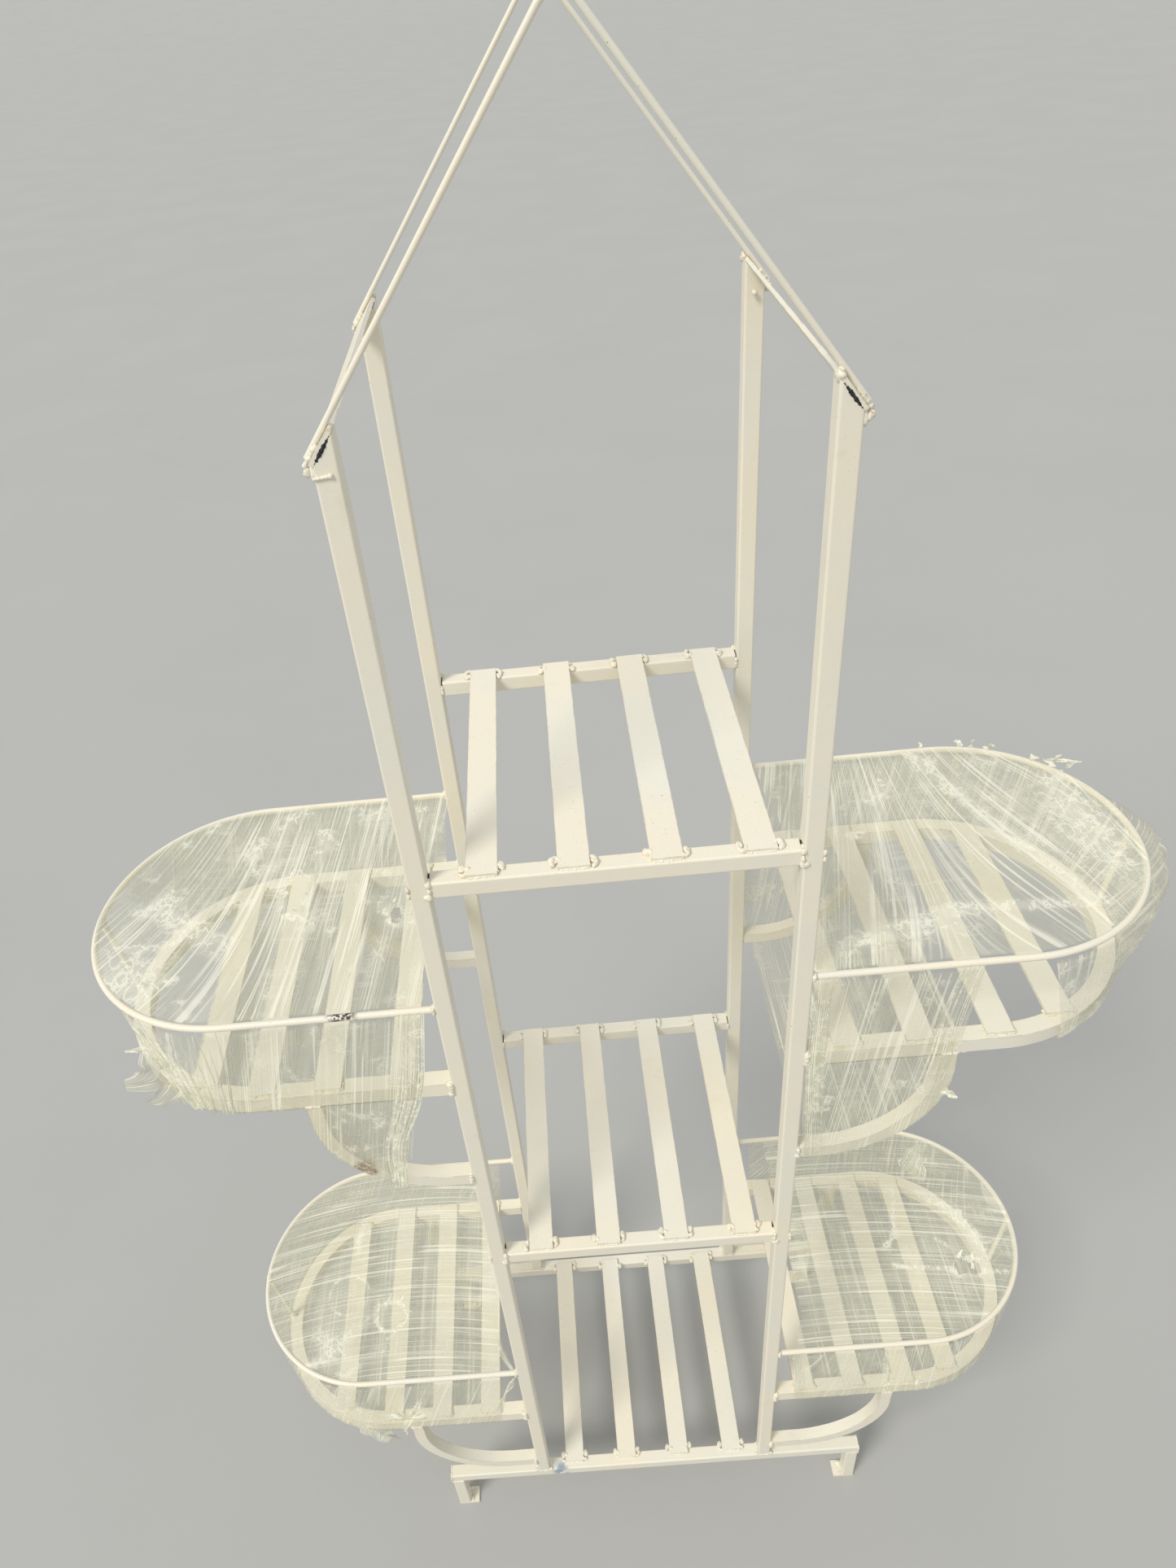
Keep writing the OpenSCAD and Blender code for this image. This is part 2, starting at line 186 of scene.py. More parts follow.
def paint_material(name, grime_and_shade=1.0, marks=()):
    """Cream paint on steel: soft mottling, specks, rubbed brown edges and painted shade, a darker stain
    colour in the corners where ambient occlusion finds them.
    marks are (centre, radius, colour, grain) patches."""
    sh = Shader(name)
    place = sh.place()
    colour = sh.mix(sh.patches(place, 7, 2, 0.35, 0.65), CREAM, CREAM_COOL)
    stain = sh.band(sh.noise(place, 38, 5, 0.65), 0.60, 0.80, 0.0, 0.22 * grime_and_shade)
    colour = sh.mix(stain, colour, CREAM_STAIN_AND_SHADE)
    speck = sh.patches(place, 620, 1, 0.735, 0.775, 0.0, 0.55 * grime_and_shade)
    colour = sh.mix(speck, colour, DIRT)
    round_edge = sh.node("ShaderNodeBevel", {"Radius": 1.6 * MM}, samples=4)
    straight = sh.node("ShaderNodeNewGeometry")
    bend = sh.node("ShaderNodeVectorMath", {
        0: round_edge.outputs["Normal"], 1: straight.outputs["True Normal"],
    }, operation="DOT_PRODUCT")
    worn = sh.band(bend.outputs["Value"], 0.80, 0.97, 1.0, 0.0)
    broken = sh.band(sh.noise(place, 48, 4, 0.7), 0.42, 0.60, 0.0, 0.68 * grime_and_shade)
    colour = sh.mix(sh.times(worn, broken), colour, SEAM)
    # Painted shade: ambient occlusion darkens the paint towards the stain colour in corners and between
    # parts, in noisy patches. Its strength is scaled with the real stains, specks and wear.
    corner = sh.node("ShaderNodeAmbientOcclusion", {"Distance": 9 * MM}, samples=4)
    painted_corner_shade = sh.band(corner.outputs["AO"], 0.20, 0.70, 0.45 * grime_and_shade, 0.0)
    colour = sh.mix(sh.times(painted_corner_shade, sh.patches(place, 90, 3, 0.40, 0.62)), colour, CREAM_STAIN_AND_SHADE)
    for centre, radius, tone, grain in marks:
        spot = sh.near(place, centre, radius * 0.35, radius)
        torn = sh.band(sh.noise(place, grain, 4, 0.7), 0.42, 0.52)
        colour = sh.mix(sh.times(spot, torn), colour, tone)
    gloss = sh.patches(place, 46, 4, 0.3, 0.7, 0.36, 0.52)
    peel = sh.noise(place, 240, 3)
    fine = sh.node("ShaderNodeBump", {"Strength": 0.22, "Distance": 0.5 * MM, "Height": peel})
    wave = sh.node("ShaderNodeBump", {
        "Strength": 0.25, "Distance": 1.5 * MM, "Height": sh.noise(place, 32, 2),
        "Normal": fine.outputs["Normal"],
    })
    return sh.finish(Base_Color=colour, Roughness=gloss, Normal=wave.outputs["Normal"],
                     Coat_Weight=0.12, Coat_Roughness=0.25)


def film_material(name, haze, fine, cross):
    """Thin clear film: a grey-green haze with pale streaks along the pull, which runs along U of
    the flow map. The cloud attribute whitens creases and crumples above zero and clears the film
    below it."""
    sh = Shader(name)
    flow = sh.node("ShaderNodeUVMap", uv_map="flow").outputs["UV"]
    place = sh.place()
    cloud = sh.node("ShaderNodeAttribute", attribute_name="cloud").outputs["Fac"]
    runs = sh.streaks(flow, 7.0, 24.0, 2)
    gaps = sh.streaks(flow, 9.0, fine / 5)
    threads = sh.streaks(flow, 1.8, fine)
    cords = sh.streaks(flow, 1.3, fine / 2, turn=0.01)
    bands = sh.streaks(flow, 1.6, fine / 7, 2)
    weft = sh.streaks(flow, cross, 4.0, turn=0.10)
    streak = sh.times(sh.crease(threads, 0.055), sh.band(runs, 0.40, 0.60, 0.12, 0.55))
    cord = sh.times(sh.crease(cords, 0.05), sh.band(gaps, 0.36, 0.54, 0.12, 0.78))
    streak = sh.most(streak, cord)
    streak = sh.most(streak, sh.band(bands, 0.56, 0.76, 0.0, 0.36))
    cross_streak = sh.times(sh.crease(weft, 0.04), sh.band(runs, 0.45, 0.6, 0, 0.4))
    streak = sh.most(streak, cross_streak)
    whitened = sh.band(cloud, 0.0, 1.0)
    wrinkles = sh.crease(sh.noise(sh.stretched(place, (74, 58, 66)), 1.0, 3, 0.6), 0.075)
    crumple = sh.times(wrinkles, sh.band(cloud, 0.0, 0.75, 0.08, 0.72))
    bright = sh.most(streak, crumple)
    present = sh.band(cloud, -1.0, -0.1)
    thick = sh.patches(place, 14, 2, 0.34, 0.66, haze * 0.8, haze * 1.2)
    solid = sh.plus(thick, sh.times(bright, 0.42))
    solid = sh.plus(solid, sh.times(whitened, 0.16))
    solid = sh.times(sh.math("MINIMUM", solid, 0.93), present)
    tone = sh.mix(sh.most(bright, sh.times(whitened, 0.5)), FILM_HAZE, FILM_LIGHT)
    ridge = sh.plus(threads, sh.times(cords, 2.0))
    bump = sh.node("ShaderNodeBump", {"Strength": 0.12, "Distance": 0.8 * MM, "Height": ridge})
    # Painted light: the film glows faintly in its own tone (emission 0.10), standing in for light scattered
    # through the thin sheet.
    return sh.finish(Base_Color=tone, Roughness=0.36, Alpha=solid, Normal=bump.outputs["Normal"],
                     Emission_Color=tone, Emission_Strength=0.10)


def floor_material():
    sh = Shader("floor_paper")
    darker = tuple(part * 0.97 for part in FLOOR_TONE[:3]) + (1,)
    tone = sh.mix(sh.patches(sh.place(), 1.5, 3, 0.3, 0.7), FLOOR_TONE, darker)
    return sh.finish(Base_Color=tone, Roughness=0.85)


# ---------------------------------------------------------------- mesh building

class Build:
    """Points and faces gathered from many small shapes for one piece."""

    def __init__(self):
        self.points = []
        self.faces = []

    def add(self, points, faces):
        first = len(self.points)
        self.points.extend(points)
        self.faces.extend([[first + i for i in face] for face in faces])

    def piece(self, name, material):
        mesh = bpy.data.meshes.new(name)
        mesh.from_pydata([tuple(p) for p in self.points], [], self.faces)
        mesh.shade_smooth()
        mesh.materials.append(material)
        made = bpy.data.objects.new(name, mesh)
        bpy.context.scene.collection.objects.link(made)
        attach(made, "root")
        return made


def spaced(path, gap):
    """Points at even distances along a path of straight pieces."""
    out = [Vector(path[0])]
    for start, end in zip(path, path[1:]):
        start, end = Vector(start), Vector(end)
        count = max(1, round((end - start).length / gap))
        out.extend(start.lerp(end, (i + 1) / count) for i in range(count))
    return out


def bead(build, path, radius, seed, lumps):
    """A lumpy run of weld metal with round ends, along a path. radius is in millimetres."""
    radius = radius * MM
    sides = 12
    track = spaced(path, radius * 0.42)
    if len(track) < 4:
        track = spaced([track[0], track[-1]], (track[-1] - track[0]).length / 5)
    length = sum((b - a).length for a, b in zip(track, track[1:]))
    offset = Vector((seed * 3.17, seed * 1.31, seed * 0.73))
    points, faces, gone = [], [], 0.0
    across = None
    for i, at in enumerate(track):
        along = (track[min(i + 1, len(track) - 1)] - track[max(i - 1, 0)]).normalized()
        if across is None:
            guide = Vector((0, 0, 1)) if abs(along.z) < 0.9 else Vector((1, 0, 0))
            across = along.cross(guide).normalized()
        across = (across - along * across.dot(along)).normalized()
        up = along.cross(across)
        reach = min(gone, length - gone) / radius
        cap = math.sqrt(max(0.03, 1 - (1 - min(reach, 1.0)) ** 2))
        scallop = 1 + 0.10 * math.sin(gone / radius * 2.6 + seed)
        swell = cap * scallop * (1 + lumps * noise.noise(at * (0.45 / radius) + offset))
        for k in range(sides):
            turn = 2 * math.pi * k / sides
            out = across * math.cos(turn) + up * math.sin(turn)
            rough = 1 + lumps * 0.7 * noise.noise((at + out * radius) * (0.9 / radius) + offset)
            points.append(at + out * radius * swell * rough)
        if i + 1 < len(track):
            gone += (track[i + 1] - at).length
    for i in range(len(track) - 1):
        for k in range(sides):
            n = (k + 1) % sides
            faces.append([i * sides + k, i * sides + n, (i + 1) * sides + n, (i + 1) * sides + k])
    for ring, flip in ((0, True), (len(track) - 1, False)):
        tip = len(points)
        points.append(track[ring])
        for k in range(sides):
            n = (k + 1) % sides
            pair = [ring * sides + n, ring * sides + k] if flip else [ring * sides + k, ring * sides + n]
            faces.append(pair + [tip])
    build.add(points, faces)


def ball_grid():
    """The points and faces of a round ball with a radius of 1."""
    rings, around = 10, 14
    points, faces = [Vector((0, 0, 1))], []
    for i in range(1, rings):
        tilt = math.pi * i / rings
        for k in range(around):
            turn = 2 * math.pi * k / around
            points.append(Vector((
                math.sin(tilt) * math.cos(turn), math.sin(tilt) * math.sin(turn), math.cos(tilt))))
    points.append(Vector((0, 0, -1)))
    for k in range(around):
        n = (k + 1) % around
        faces.append([0, 1 + k, 1 + n])
        last = 1 + (rings - 2) * around
        faces.append([last + n, last + k, len(points) - 1])
        for i in range(rings - 2):
            low = 1 + i * around
            faces.append([low + k, low + around + k, low + around + n, low + n])
    return points, faces


BALL = ball_grid()


def blob(build, centre, size, seed, lumps=0.28):
    """A lump of weld metal. size is its radius along each axis, in millimetres."""
    centre = Vector(centre)
    size = Vector(size) * MM
    offset = Vector((seed * 1.93, seed * 0.57, seed * 2.71))
    points = []
    for unit in BALL[0]:
        swell = 1 + lumps * noise.noise(unit * 1.3 + offset) + lumps * 0.6 * noise.noise(unit * 3.1 + offset)
        points.append(centre + Vector((unit.x * size.x, unit.y * size.y, unit.z * size.z)) * swell)
    build.add(points, BALL[1])


def ring_path(centre, radius, axis, start=0.0, end=360.0):
    """Points round a circle about one axis, 0, 1 or 2."""
    out, count = [], 18
    for i in range(count + 1):
        turn = math.radians(start + (end - start) * i / count)
        flat = (radius * math.cos(turn), radius * math.sin(turn))
        turned = [0.0, 0.0, 0.0]
        turned[(axis + 1) % 3], turned[(axis + 2) % 3] = flat
        out.append(Vector(centre) + Vector(turned))
    return out


# ---------------------------------------------------------------- sizes from the frame

def low(node):
    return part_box(node)[0]


def high(node):
    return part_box(node)[1]


HALF_W = high("upright_front_right").x
HALF_D = high("upright_back_right").y
TUBE = HALF_W - low("upright_front_right").x
BASE_Z = high("base_bar_front").z
SHELF_Z = {"base": BASE_Z, "mid": high("mid_bar_front").z, "top": high("top_bar_front").z}
RIM_R = (high("rim_upper_right").z - low("rim_upper_right").z) / 2
RIM_Z = {level: high("rim_" + level + "_right").z - RIM_R for level in LEVELS}
RIM_BEND = high("rim_upper_right").y - RIM_R
RIM_CENTRE = high("rim_upper_right").x - RIM_R - RIM_BEND
FLOOR_Z = {level: high("floor_frame_" + level + "_right").z for level in LEVELS}
FLOOR_BEND = high("floor_frame_upper_right").y
FLOOR_CENTRE = high("floor_frame_upper_right").x - FLOOR_BEND
ARM_Z = {level: low("bracket_" + level + "_right_front").z for level in LEVELS}
ARM_X = {level: high("bracket_" + level + "_right_front").x for level in LEVELS}
ARM_TUBE = high("bracket_upper_right_front").y - low("bracket_upper_right_front").y
ARM_BEND = 116 * MM


# ---------------------------------------------------------------- weld metal

# The stand in millimetres, which the welds are placed in. The uprights' tops are mitred from TIP,
# inside, down to SHOULDER.
OUTSIDE = HALF_W / MM
FACE = HALF_D / MM
BAR = TUBE / MM
ARM = ARM_TUBE / MM
TIP = high("upright_front_left").z / MM
MITRE_ANGLE = 53
SHOULDER = TIP - BAR * math.tan(math.radians(MITRE_ANGLE))


class Corner:
    """Weld metal at one corner of the stand. Places are in millimetres, written as for the back
    right corner: x is outwards and y towards the corner's own face."""

    def __init__(self, build, side, row):
        self.build = build
        self.side = side
        self.row = row

    def x(self, outwards):
        return self.side * outwards * MM

    def y(self, towards):
        return self.row * towards * MM

    def at(self, x, y, z):
        return Vector((self.x(x), self.y(y), z * MM))

    def bead(self, path, radius, seed, lumps=0.5):
        bead(self.build, [self.at(*place) for place in path], radius, seed, lumps)

    def blob(self, place, size, seed, lumps=0.28):
        blob(self.build, self.at(*place), size, seed, lumps)


def corners(build):
    return [Corner(build, side, row) for _, side in SIDES for _, row in ROWS]


def slat_welds(build, node, seed):
    """Curled lumps at both edges of both ends of a slat."""
    pick = random.Random(seed)
    lo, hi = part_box(node)
    for row, end in ((-1, lo.y), (1, hi.y)):
        for side, edge in ((-1, lo.x), (1, hi.x)):
            inset = row * pick.uniform(4.5, 7.5) * MM
            centre = Vector((edge + side * 1.4 * MM, end - inset, lo.z + 0.9 * MM))
            start = pick.uniform(0, 360)
            path = ring_path(centre, pick.uniform(2.3, 3.4) * MM, 2, start, start + pick.uniform(190, 300))
            for i, place in enumerate(path):
                place.y += (place.y - centre.y) * 0.45
                place.z += 0.9 * MM * i / len(path)
            bead(build, path, pick.uniform(1.7, 2.3), seed + side + 2 * row, 0.45)
            blob(build, centre + Vector((side * 1.5, -row * 3.5, -0.2)) * MM, (3.2, 4.4, 1.9),
                 seed + 5 * side + row)
        middle = Vector(((lo.x + hi.x) / 2, end, lo.z))
        reach = Vector(((hi.x - lo.x) / 2 * 0.9, 0, 0))
        bead(build, [middle - reach, middle + reach], 1.1, seed + 17 * row, 0.5)


def floor_slat_welds(build, node, seed):
    """Small beads beside the ends of each slat of a basket floor."""
    pick = random.Random(seed)
    ends = sorted({(round(v.co.x, 5), round(v.co.y, 5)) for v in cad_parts[node].data.vertices})
    for x, y in ends:
        row = 1 if y > 0 else -1
        others = [end[0] for end in ends if abs(end[1] - y) < 1e-4 and 0 < abs(end[0] - x) < 0.03]
        out = 1 if not others or others[0] < x else -1
        run = row * pick.uniform(6, 9) * MM
        start = Vector((x + out * 0.8 * MM, y + row * 0.5 * MM, low(node).z + 0.7 * MM))
        bead(build, [start, start - Vector((0, run, 0))], pick.uniform(1.2, 1.8), seed + x * 99, 0.4)
        bead(build, [start, start - Vector((out * 9 * MM, 0, 0))], 0.9, seed + y * 77, 0.4)


def upright_foot_welds(corner, seed):
    """A bead round the foot of an upright, with a lump at each outer corner."""
    inside, floor = FACE - BAR, BASE_Z / MM
    for x, away in ((OUTSIDE, 1.0), (OUTSIDE - BAR, -1.0)):
        run = [(x + away, FACE - 0.5, floor + 0.8), (x + away, inside, floor + 0.8)]
        corner.bead(run, 2.0, seed + corner.x(x), 0.4)
        corner.blob((x + away * 1.5, FACE - 1.5, floor + 1.0), (2.6, 2.4, 2.2), seed + 3 * corner.x(x))
    for y in (FACE, inside):
        corner.bead([(OUTSIDE, y, floor + 0.4), (OUTSIDE - BAR, y, floor + 0.4)], 1.1, seed + corner.y(y))


def shelf_joint_welds(corner, top, seed):
    """Lumps where a shelf bar meets an upright, mostly at the face's lower and upper corners."""
    pick = random.Random(seed)
    seam, face, inside, outer = OUTSIDE - BAR - 0.4, FACE + 0.2, FACE - BAR, OUTSIDE + 0.2
    corner.bead([(seam, face, top - 15), (seam, face, top - 5)], 1.8, seed)
    corner.blob((seam + 1.5, face - 1.2, top - 14.5), (4.2, 3.4, 3.4), seed + 1)
    corner.blob((seam, face - 1.0, top - 1.5), (2.7, 2.7, 3.2), seed + 2)
    corner.bead([(seam, face - 1.5, top + 0.3), (seam, face - pick.uniform(5, 8), top + 0.3)], 1.5, seed + 3)
    corner.bead([(seam, inside, top - 3), (seam, inside, top - 14)], 1.5, seed + 4)
    corner.blob((outer, face - 1.3, top - 5), (1.9, 2.6, 3.6), seed + 5)
    corner.blob((outer, face - 1.6, top - 12), (1.6, 2.4, 2.6), seed + 6)


def basket_joint_welds(corner, level, seed):
    """Beads where a floor frame, a rim and a bracket meet an upright, and the bracket the frame."""
    wall, face, top = OUTSIDE + 0.5, FACE + 0.1, FLOOR_Z[level] / MM
    corner.bead([(wall, face, top), (wall, face, top - BAR)], 2.1, seed)
    corner.bead([(wall, face, top + 0.2), (wall, face - BAR, top + 0.2)], 1.5, seed + 1, 0.4)
    corner.blob((wall + 0.8, face - 1.5, top - 2.0), (4.0, 3.6, 3.8), seed + 2)
    corner.blob((wall + 0.6, face - 1.0, top - BAR + 1.5), (3.4, 2.8, 3.0), seed + 3)
    rim = (wall + 0.6, RIM_BEND / MM, RIM_Z[level] / MM)
    bead(corner.build, ring_path(corner.at(*rim), RIM_R + 0.3 * MM, 0), 1.7, seed + 4, 0.4)
    corner.blob((rim[0], rim[1] + 1.0, rim[2] + 1.8), (2.6, 4.4, 3.4), seed + 5)
    foot = ARM_Z[level] / MM
    corner.bead([(wall, face, foot), (wall, face, foot + ARM)], 2.0, seed + 6)
    corner.bead([(wall, face, foot + ARM), (wall, face - ARM, foot + ARM)], 1.5, seed + 7, 0.4)
    corner.blob((wall, face - 1.2, foot + 2), (3.6, 3.0, 3.2), seed + 8)
    far, under = ARM_X[level] / MM, top - BAR - 0.2
    tip = far - ARM
    loop = [(tip, face, under), (far, face, under), (far, face - ARM, under), (tip, face - ARM, under)]
    corner.bead(loop + loop[:1], 1.5, seed + 9)
    corner.blob((far - 1.5, face - 1.5, under - 0.5), (3.4, 2.8, 2.6), seed + 10)


def span(node):
    """The inner and outer x of a node, whichever side it is on, and its low and high z."""
    lo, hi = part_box(node)
    inner, outer = sorted((abs(lo.x), abs(hi.x)))
    return inner / MM, outer / MM, lo.z / MM, hi.z / MM


def post_welds(build, side, side_name, level, seed):
    middle = Corner(build, side, 1)
    rod = RIM_R / MM
    inner, outer, foot, head = span("rim_post_" + level + "_" + side_name)
    bead(build, ring_path(middle.at(inner + rod, 0, foot + 0.5), RIM_R + 0.4 * MM, 2), 1.5, seed, 0.4)
    middle.blob((outer - rod, 0, head), (4.2, 4.8, 3.0), seed + 1)
    middle.blob((outer - rod + 2.2, 2.0, head + 1.5), (2.4, 3.4, 2.6), seed + 2)


def leg_welds(corner, seed):
    """Seams of a base bar's end, its leg and its pad."""
    inner, outer, pad, top = span("leg_front_right" if corner.row < 0 else "leg_back_right")
    inside = FACE - BAR
    corner.bead([(inner, FACE, top), (outer, FACE, top)], 1.0, seed)
    corner.bead([(inner - 0.6, FACE, top), (inner - 0.6, inside, top)], 2.1, seed + 1)
    corner.bead([(outer, FACE, top), (outer, inside, top)], 1.0, seed + 2)
    for x in (inner - 0.5, inner - 2.6):
        corner.bead([(x, FACE - 1.0, pad + 0.8), (x, inside, pad + 0.8)], 2.2, seed + corner.x(x) * 50, 0.6)
    corner.bead([(inner, inside, pad + 0.5), (outer, inside, pad + 0.5)], 1.7, seed + 5)
    corner.blob((inner - 2, inside, pad + 1.4), (4.0, 3.0, 2.6), seed + 6)
    end, top = high("base_bar_front").x / MM, BASE_Z / MM
    for y in (FACE, inside):
        corner.bead([(end, y, top - 1.0), (end, y, top - BAR)], 0.8, seed + 7)
    corner.bead([(end - 0.3, FACE, top - 0.5), (end - 0.3, inside, top - 0.5)], 1.1, seed + 8)


def mitre(corner):
    """The middles of the inner and the outer edge of an upright's mitred top."""
    middle = FACE - BAR / 2
    return corner.at(OUTSIDE - BAR, middle, TIP), corner.at(OUTSIDE, middle, SHOULDER)


def roof_joint_welds(corner, outer_lump, inner_lump, seed):
    """Lumps where a strap lies on an upright's mitre, and the wire's foot on the strap."""
    build = corner.build
    inner, outer = mitre(corner)
    down = (outer - inner).normalized()
    out = Vector((-down.z, 0, down.x)) * corner.side
    back = Vector((0, TUBE / 2, 0))
    seam = [inner + back + down * 2 * MM, outer + back - down * MM]
    bead(build, seam, 1.1, seed + outer.y + back.y, 0.6)
    edge = outer + down * 4.4 * MM + out * 1.5 * MM
    blob(build, edge + corner.at(0, 4, -0.5), (outer_lump * 0.8, outer_lump, outer_lump), seed + 1, 0.35)
    blob(build, outer + corner.at(0.4, 4.5, -4.5), (outer_lump * 0.75, outer_lump * 0.9, outer_lump * 1.7),
         seed + 2, 0.25)
    blob(build, inner + corner.at(1.2, 4.5, 0.5), (inner_lump * 0.8, inner_lump, inner_lump), seed + 3, 0.35)
    for shift in (-2.6, 2.6):
        start = edge + out * 2.6 * MM + Vector((0, shift * MM, 0))
        bead(build, [start, start - down * 17 * MM], 1.5, seed + shift * 0.9, 0.6)


def roof_gap(corner, first, last, seed):
    """Painted shade for the shadowed mouth of a mitred tube beside its strap, as near-black beads: first and
    last are shares down the mitre.
    """
    front = Vector((0, 0.5 * MM - TUBE / 2, 0))
    top, foot = (edge + front for edge in mitre(corner))
    for inset, radius in ((0.0, 0.6), (0.12, 0.95), (0.27, 1.3)):
        spare = (last - first) * inset
        bead(corner.build, [top.lerp(foot, first + spare), top.lerp(foot, last - spare)], radius, seed, 0.22)


def shelf_gap(corner, top, seed):
    """Painted shade for the shadowed unfilled slit on top of a shelf bar's front end, against the upright,
    as a near-black bead.
    """
    x = OUTSIDE - BAR - 0.5
    corner.bead([(x, FACE - 2, top), (x, FACE - 12, top)], 0.9, seed, 0.4)


def gap_material():
    """Near-black painted shade, standing in for the shadow deep in a slit."""
    sh = Shader("painted_shade_gap")
    grain = sh.patches(sh.place(), 300, 2, 0.35, 0.65)
    tone = sh.mix(grain, (0.012, 0.013, 0.016, 1), (0.035, 0.032, 0.036, 1))
    return sh.finish(Base_Color=tone, Roughness=0.9)


def make_gaps():
    build = Build()
    front_left, back_left, front_right, _ = corners(build)
    roof_gap(front_left, 0.12, 0.92, 501)
    roof_gap(front_right, 0.14, 0.90, 503)
    roof_gap(back_left, 0.04, 0.35, 505)
    for corner in (front_left, front_right):
        for i, shelf in enumerate(("mid", "top")):
            shelf_gap(corner, SHELF_Z[shelf] / MM, 507 + 2 * i + corner.side)
    # One piece of near-black painted shade for all the shadowed slits and tube mouths.
    build.piece("painted_shade_gaps", gap_material())


def pin(corner, start, end, radius, seed):
    """A short nail with a rounded head, lying in the paint."""
    corner.bead([start, end], radius, seed, 0.12)
    corner.blob(end, (radius * 1.5, radius * 1.5, radius * 1.5), seed + 1, 0.12)


def make_roof_welds(paint):
    build = Build()
    lumps = ((2.9, 2.0, 301), (4.0, 2.2, 317), (3.4, 4.2, 331), (2.8, 4.2, 347))
    for corner, (outer_lump, inner_lump, seed) in zip(corners(build), lumps):
        roof_joint_welds(corner, outer_lump, inner_lump, seed)
    build.piece("welds_roof", paint)
    build = Build()
    front_left, _, _, back_right = corners(build)
    face = FACE + 0.6
    pin(front_left, (OUTSIDE + 1, face, SHOULDER - 6), (OUTSIDE - 10, face, SHOULDER - 5), 1.1, 401)
    x, inside = OUTSIDE - 9, FACE - BAR
    pin(back_right, (x, inside + 1, SHOULDER - 2), (x, inside - 4, SHOULDER - 2), 1.5, 402)
    build.piece("pins_roof", paint)


def make_welds(paint):
    seed = 11
    for shelf, height in SHELF_Z.items():
        build = Build()
        for place in range(1, 5):
            slat_welds(build, shelf + "_slat_" + str(place), seed)
            seed += 7
        for corner in corners(build):
            if shelf == "base":
                upright_foot_welds(corner, seed)
                leg_welds(corner, seed + 2)
            else:
                shelf_joint_welds(corner, height / MM, seed)
            seed += 13
        build.piece("welds_" + shelf + "_shelf", paint)
    for level in LEVELS:
        for side_name, side in SIDES:
            build = Build()
            floor_slat_welds(build, "floor_slats_" + level + "_" + side_name, seed)
            for _, row in ROWS:
                basket_joint_welds(Corner(build, side, row), level, seed + 3)
                seed += 13
            post_welds(build, side, side_name, level, seed)
            build.piece("welds_basket_" + level + "_" + side_name, paint)
    make_roof_welds(paint)


def paint_frame(plain):
    """Gives every metal CAD node the paint. Three nodes also carry marks."""
    rim_mark = (-240 * MM, -RIM_BEND, RIM_Z["upper"] + RIM_R)
    marked = {
        "rim_upper_left": ((rim_mark, 17 * MM, SCUFF, 260),),
        "bracket_upper_left_front": (
            ((-262 * MM, -HALF_D, 850 * MM), 14 * MM, RUST, 200),
            ((-255 * MM, -HALF_D, 842 * MM), 9 * MM, RUST, 300),
        ),
        "base_bar_front": (((-128 * MM, -HALF_D, 90 * MM), 16 * MM, BLUE_STAIN, 60),),
    }
    for name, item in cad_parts.items():
        if name.startswith("film_"):
            continue
        finish = plain
        if name in marked:
            finish = paint_material("cream_paint_" + name, 1.0, marked[name])
        item.data.materials.clear()
        item.data.materials.append(finish)


# ---------------------------------------------------------------- film

def axes(points):
    """The x, y and z of an array of points."""
    return np.moveaxis(points, -1, 0)


def film_sheet(name, material, side, level, shape, cells, flow, cloud, relief=None, cut=None):
    """A sheet over u and v from 0 to 1, made on the right side and mirrored when side is -1.
    shape gives its points, and flow its streak map from their x, y and z. cloud is its whiteness
    and relief its push along the normal, from the points, u and v. It is torn away where cut,
    from the points, is below zero."""
    nu, nv = cells
    u, v = np.meshgrid(np.linspace(0, 1, nu + 1), np.linspace(0, 1, nv + 1), indexing="ij")
    if cut is not None:
        u, v = drawn_to_edge(u, v, lambda a, b: cut(shape(a, b)), nu, nv)
    flat = shape(u, v)
    points = flat
    if relief is not None:
        tiny = 0.002
        du = shape(np.minimum(u + tiny, 1), v) - shape(np.maximum(u - tiny, 0), v)
        dv = shape(u, np.minimum(v + tiny, 1)) - shape(u, np.maximum(v - tiny, 0))
        normal = np.cross(du, dv)
        normal = normal / np.maximum(np.linalg.norm(normal, axis=2, keepdims=True), 1e-12)
        away = flat - np.array([flat[..., 0].mean(), 0, (RIM_Z[level] + FLOOR_Z[level]) / 2])
        normal = normal * np.sign((normal * away).sum(2).mean())
        points = flat + normal * relief(flat, u, v)[..., None]
    index = np.arange(u.size).reshape(u.shape)
    quads = np.stack([index[:-1, :-1], index[1:, :-1], index[1:, 1:], index[:-1, 1:]], -1).reshape(-1, 4)
    if cut is not None:
        kept = cut(flat).reshape(-1)
        quads = quads[kept[quads].mean(1) > 0]
    map_u, map_v = flow(*axes(flat))
    return film_piece(name, material, side, points.reshape(-1, 3), quads, map_u.reshape(-1),
                      map_v.reshape(-1), cloud(flat, u, v).reshape(-1))


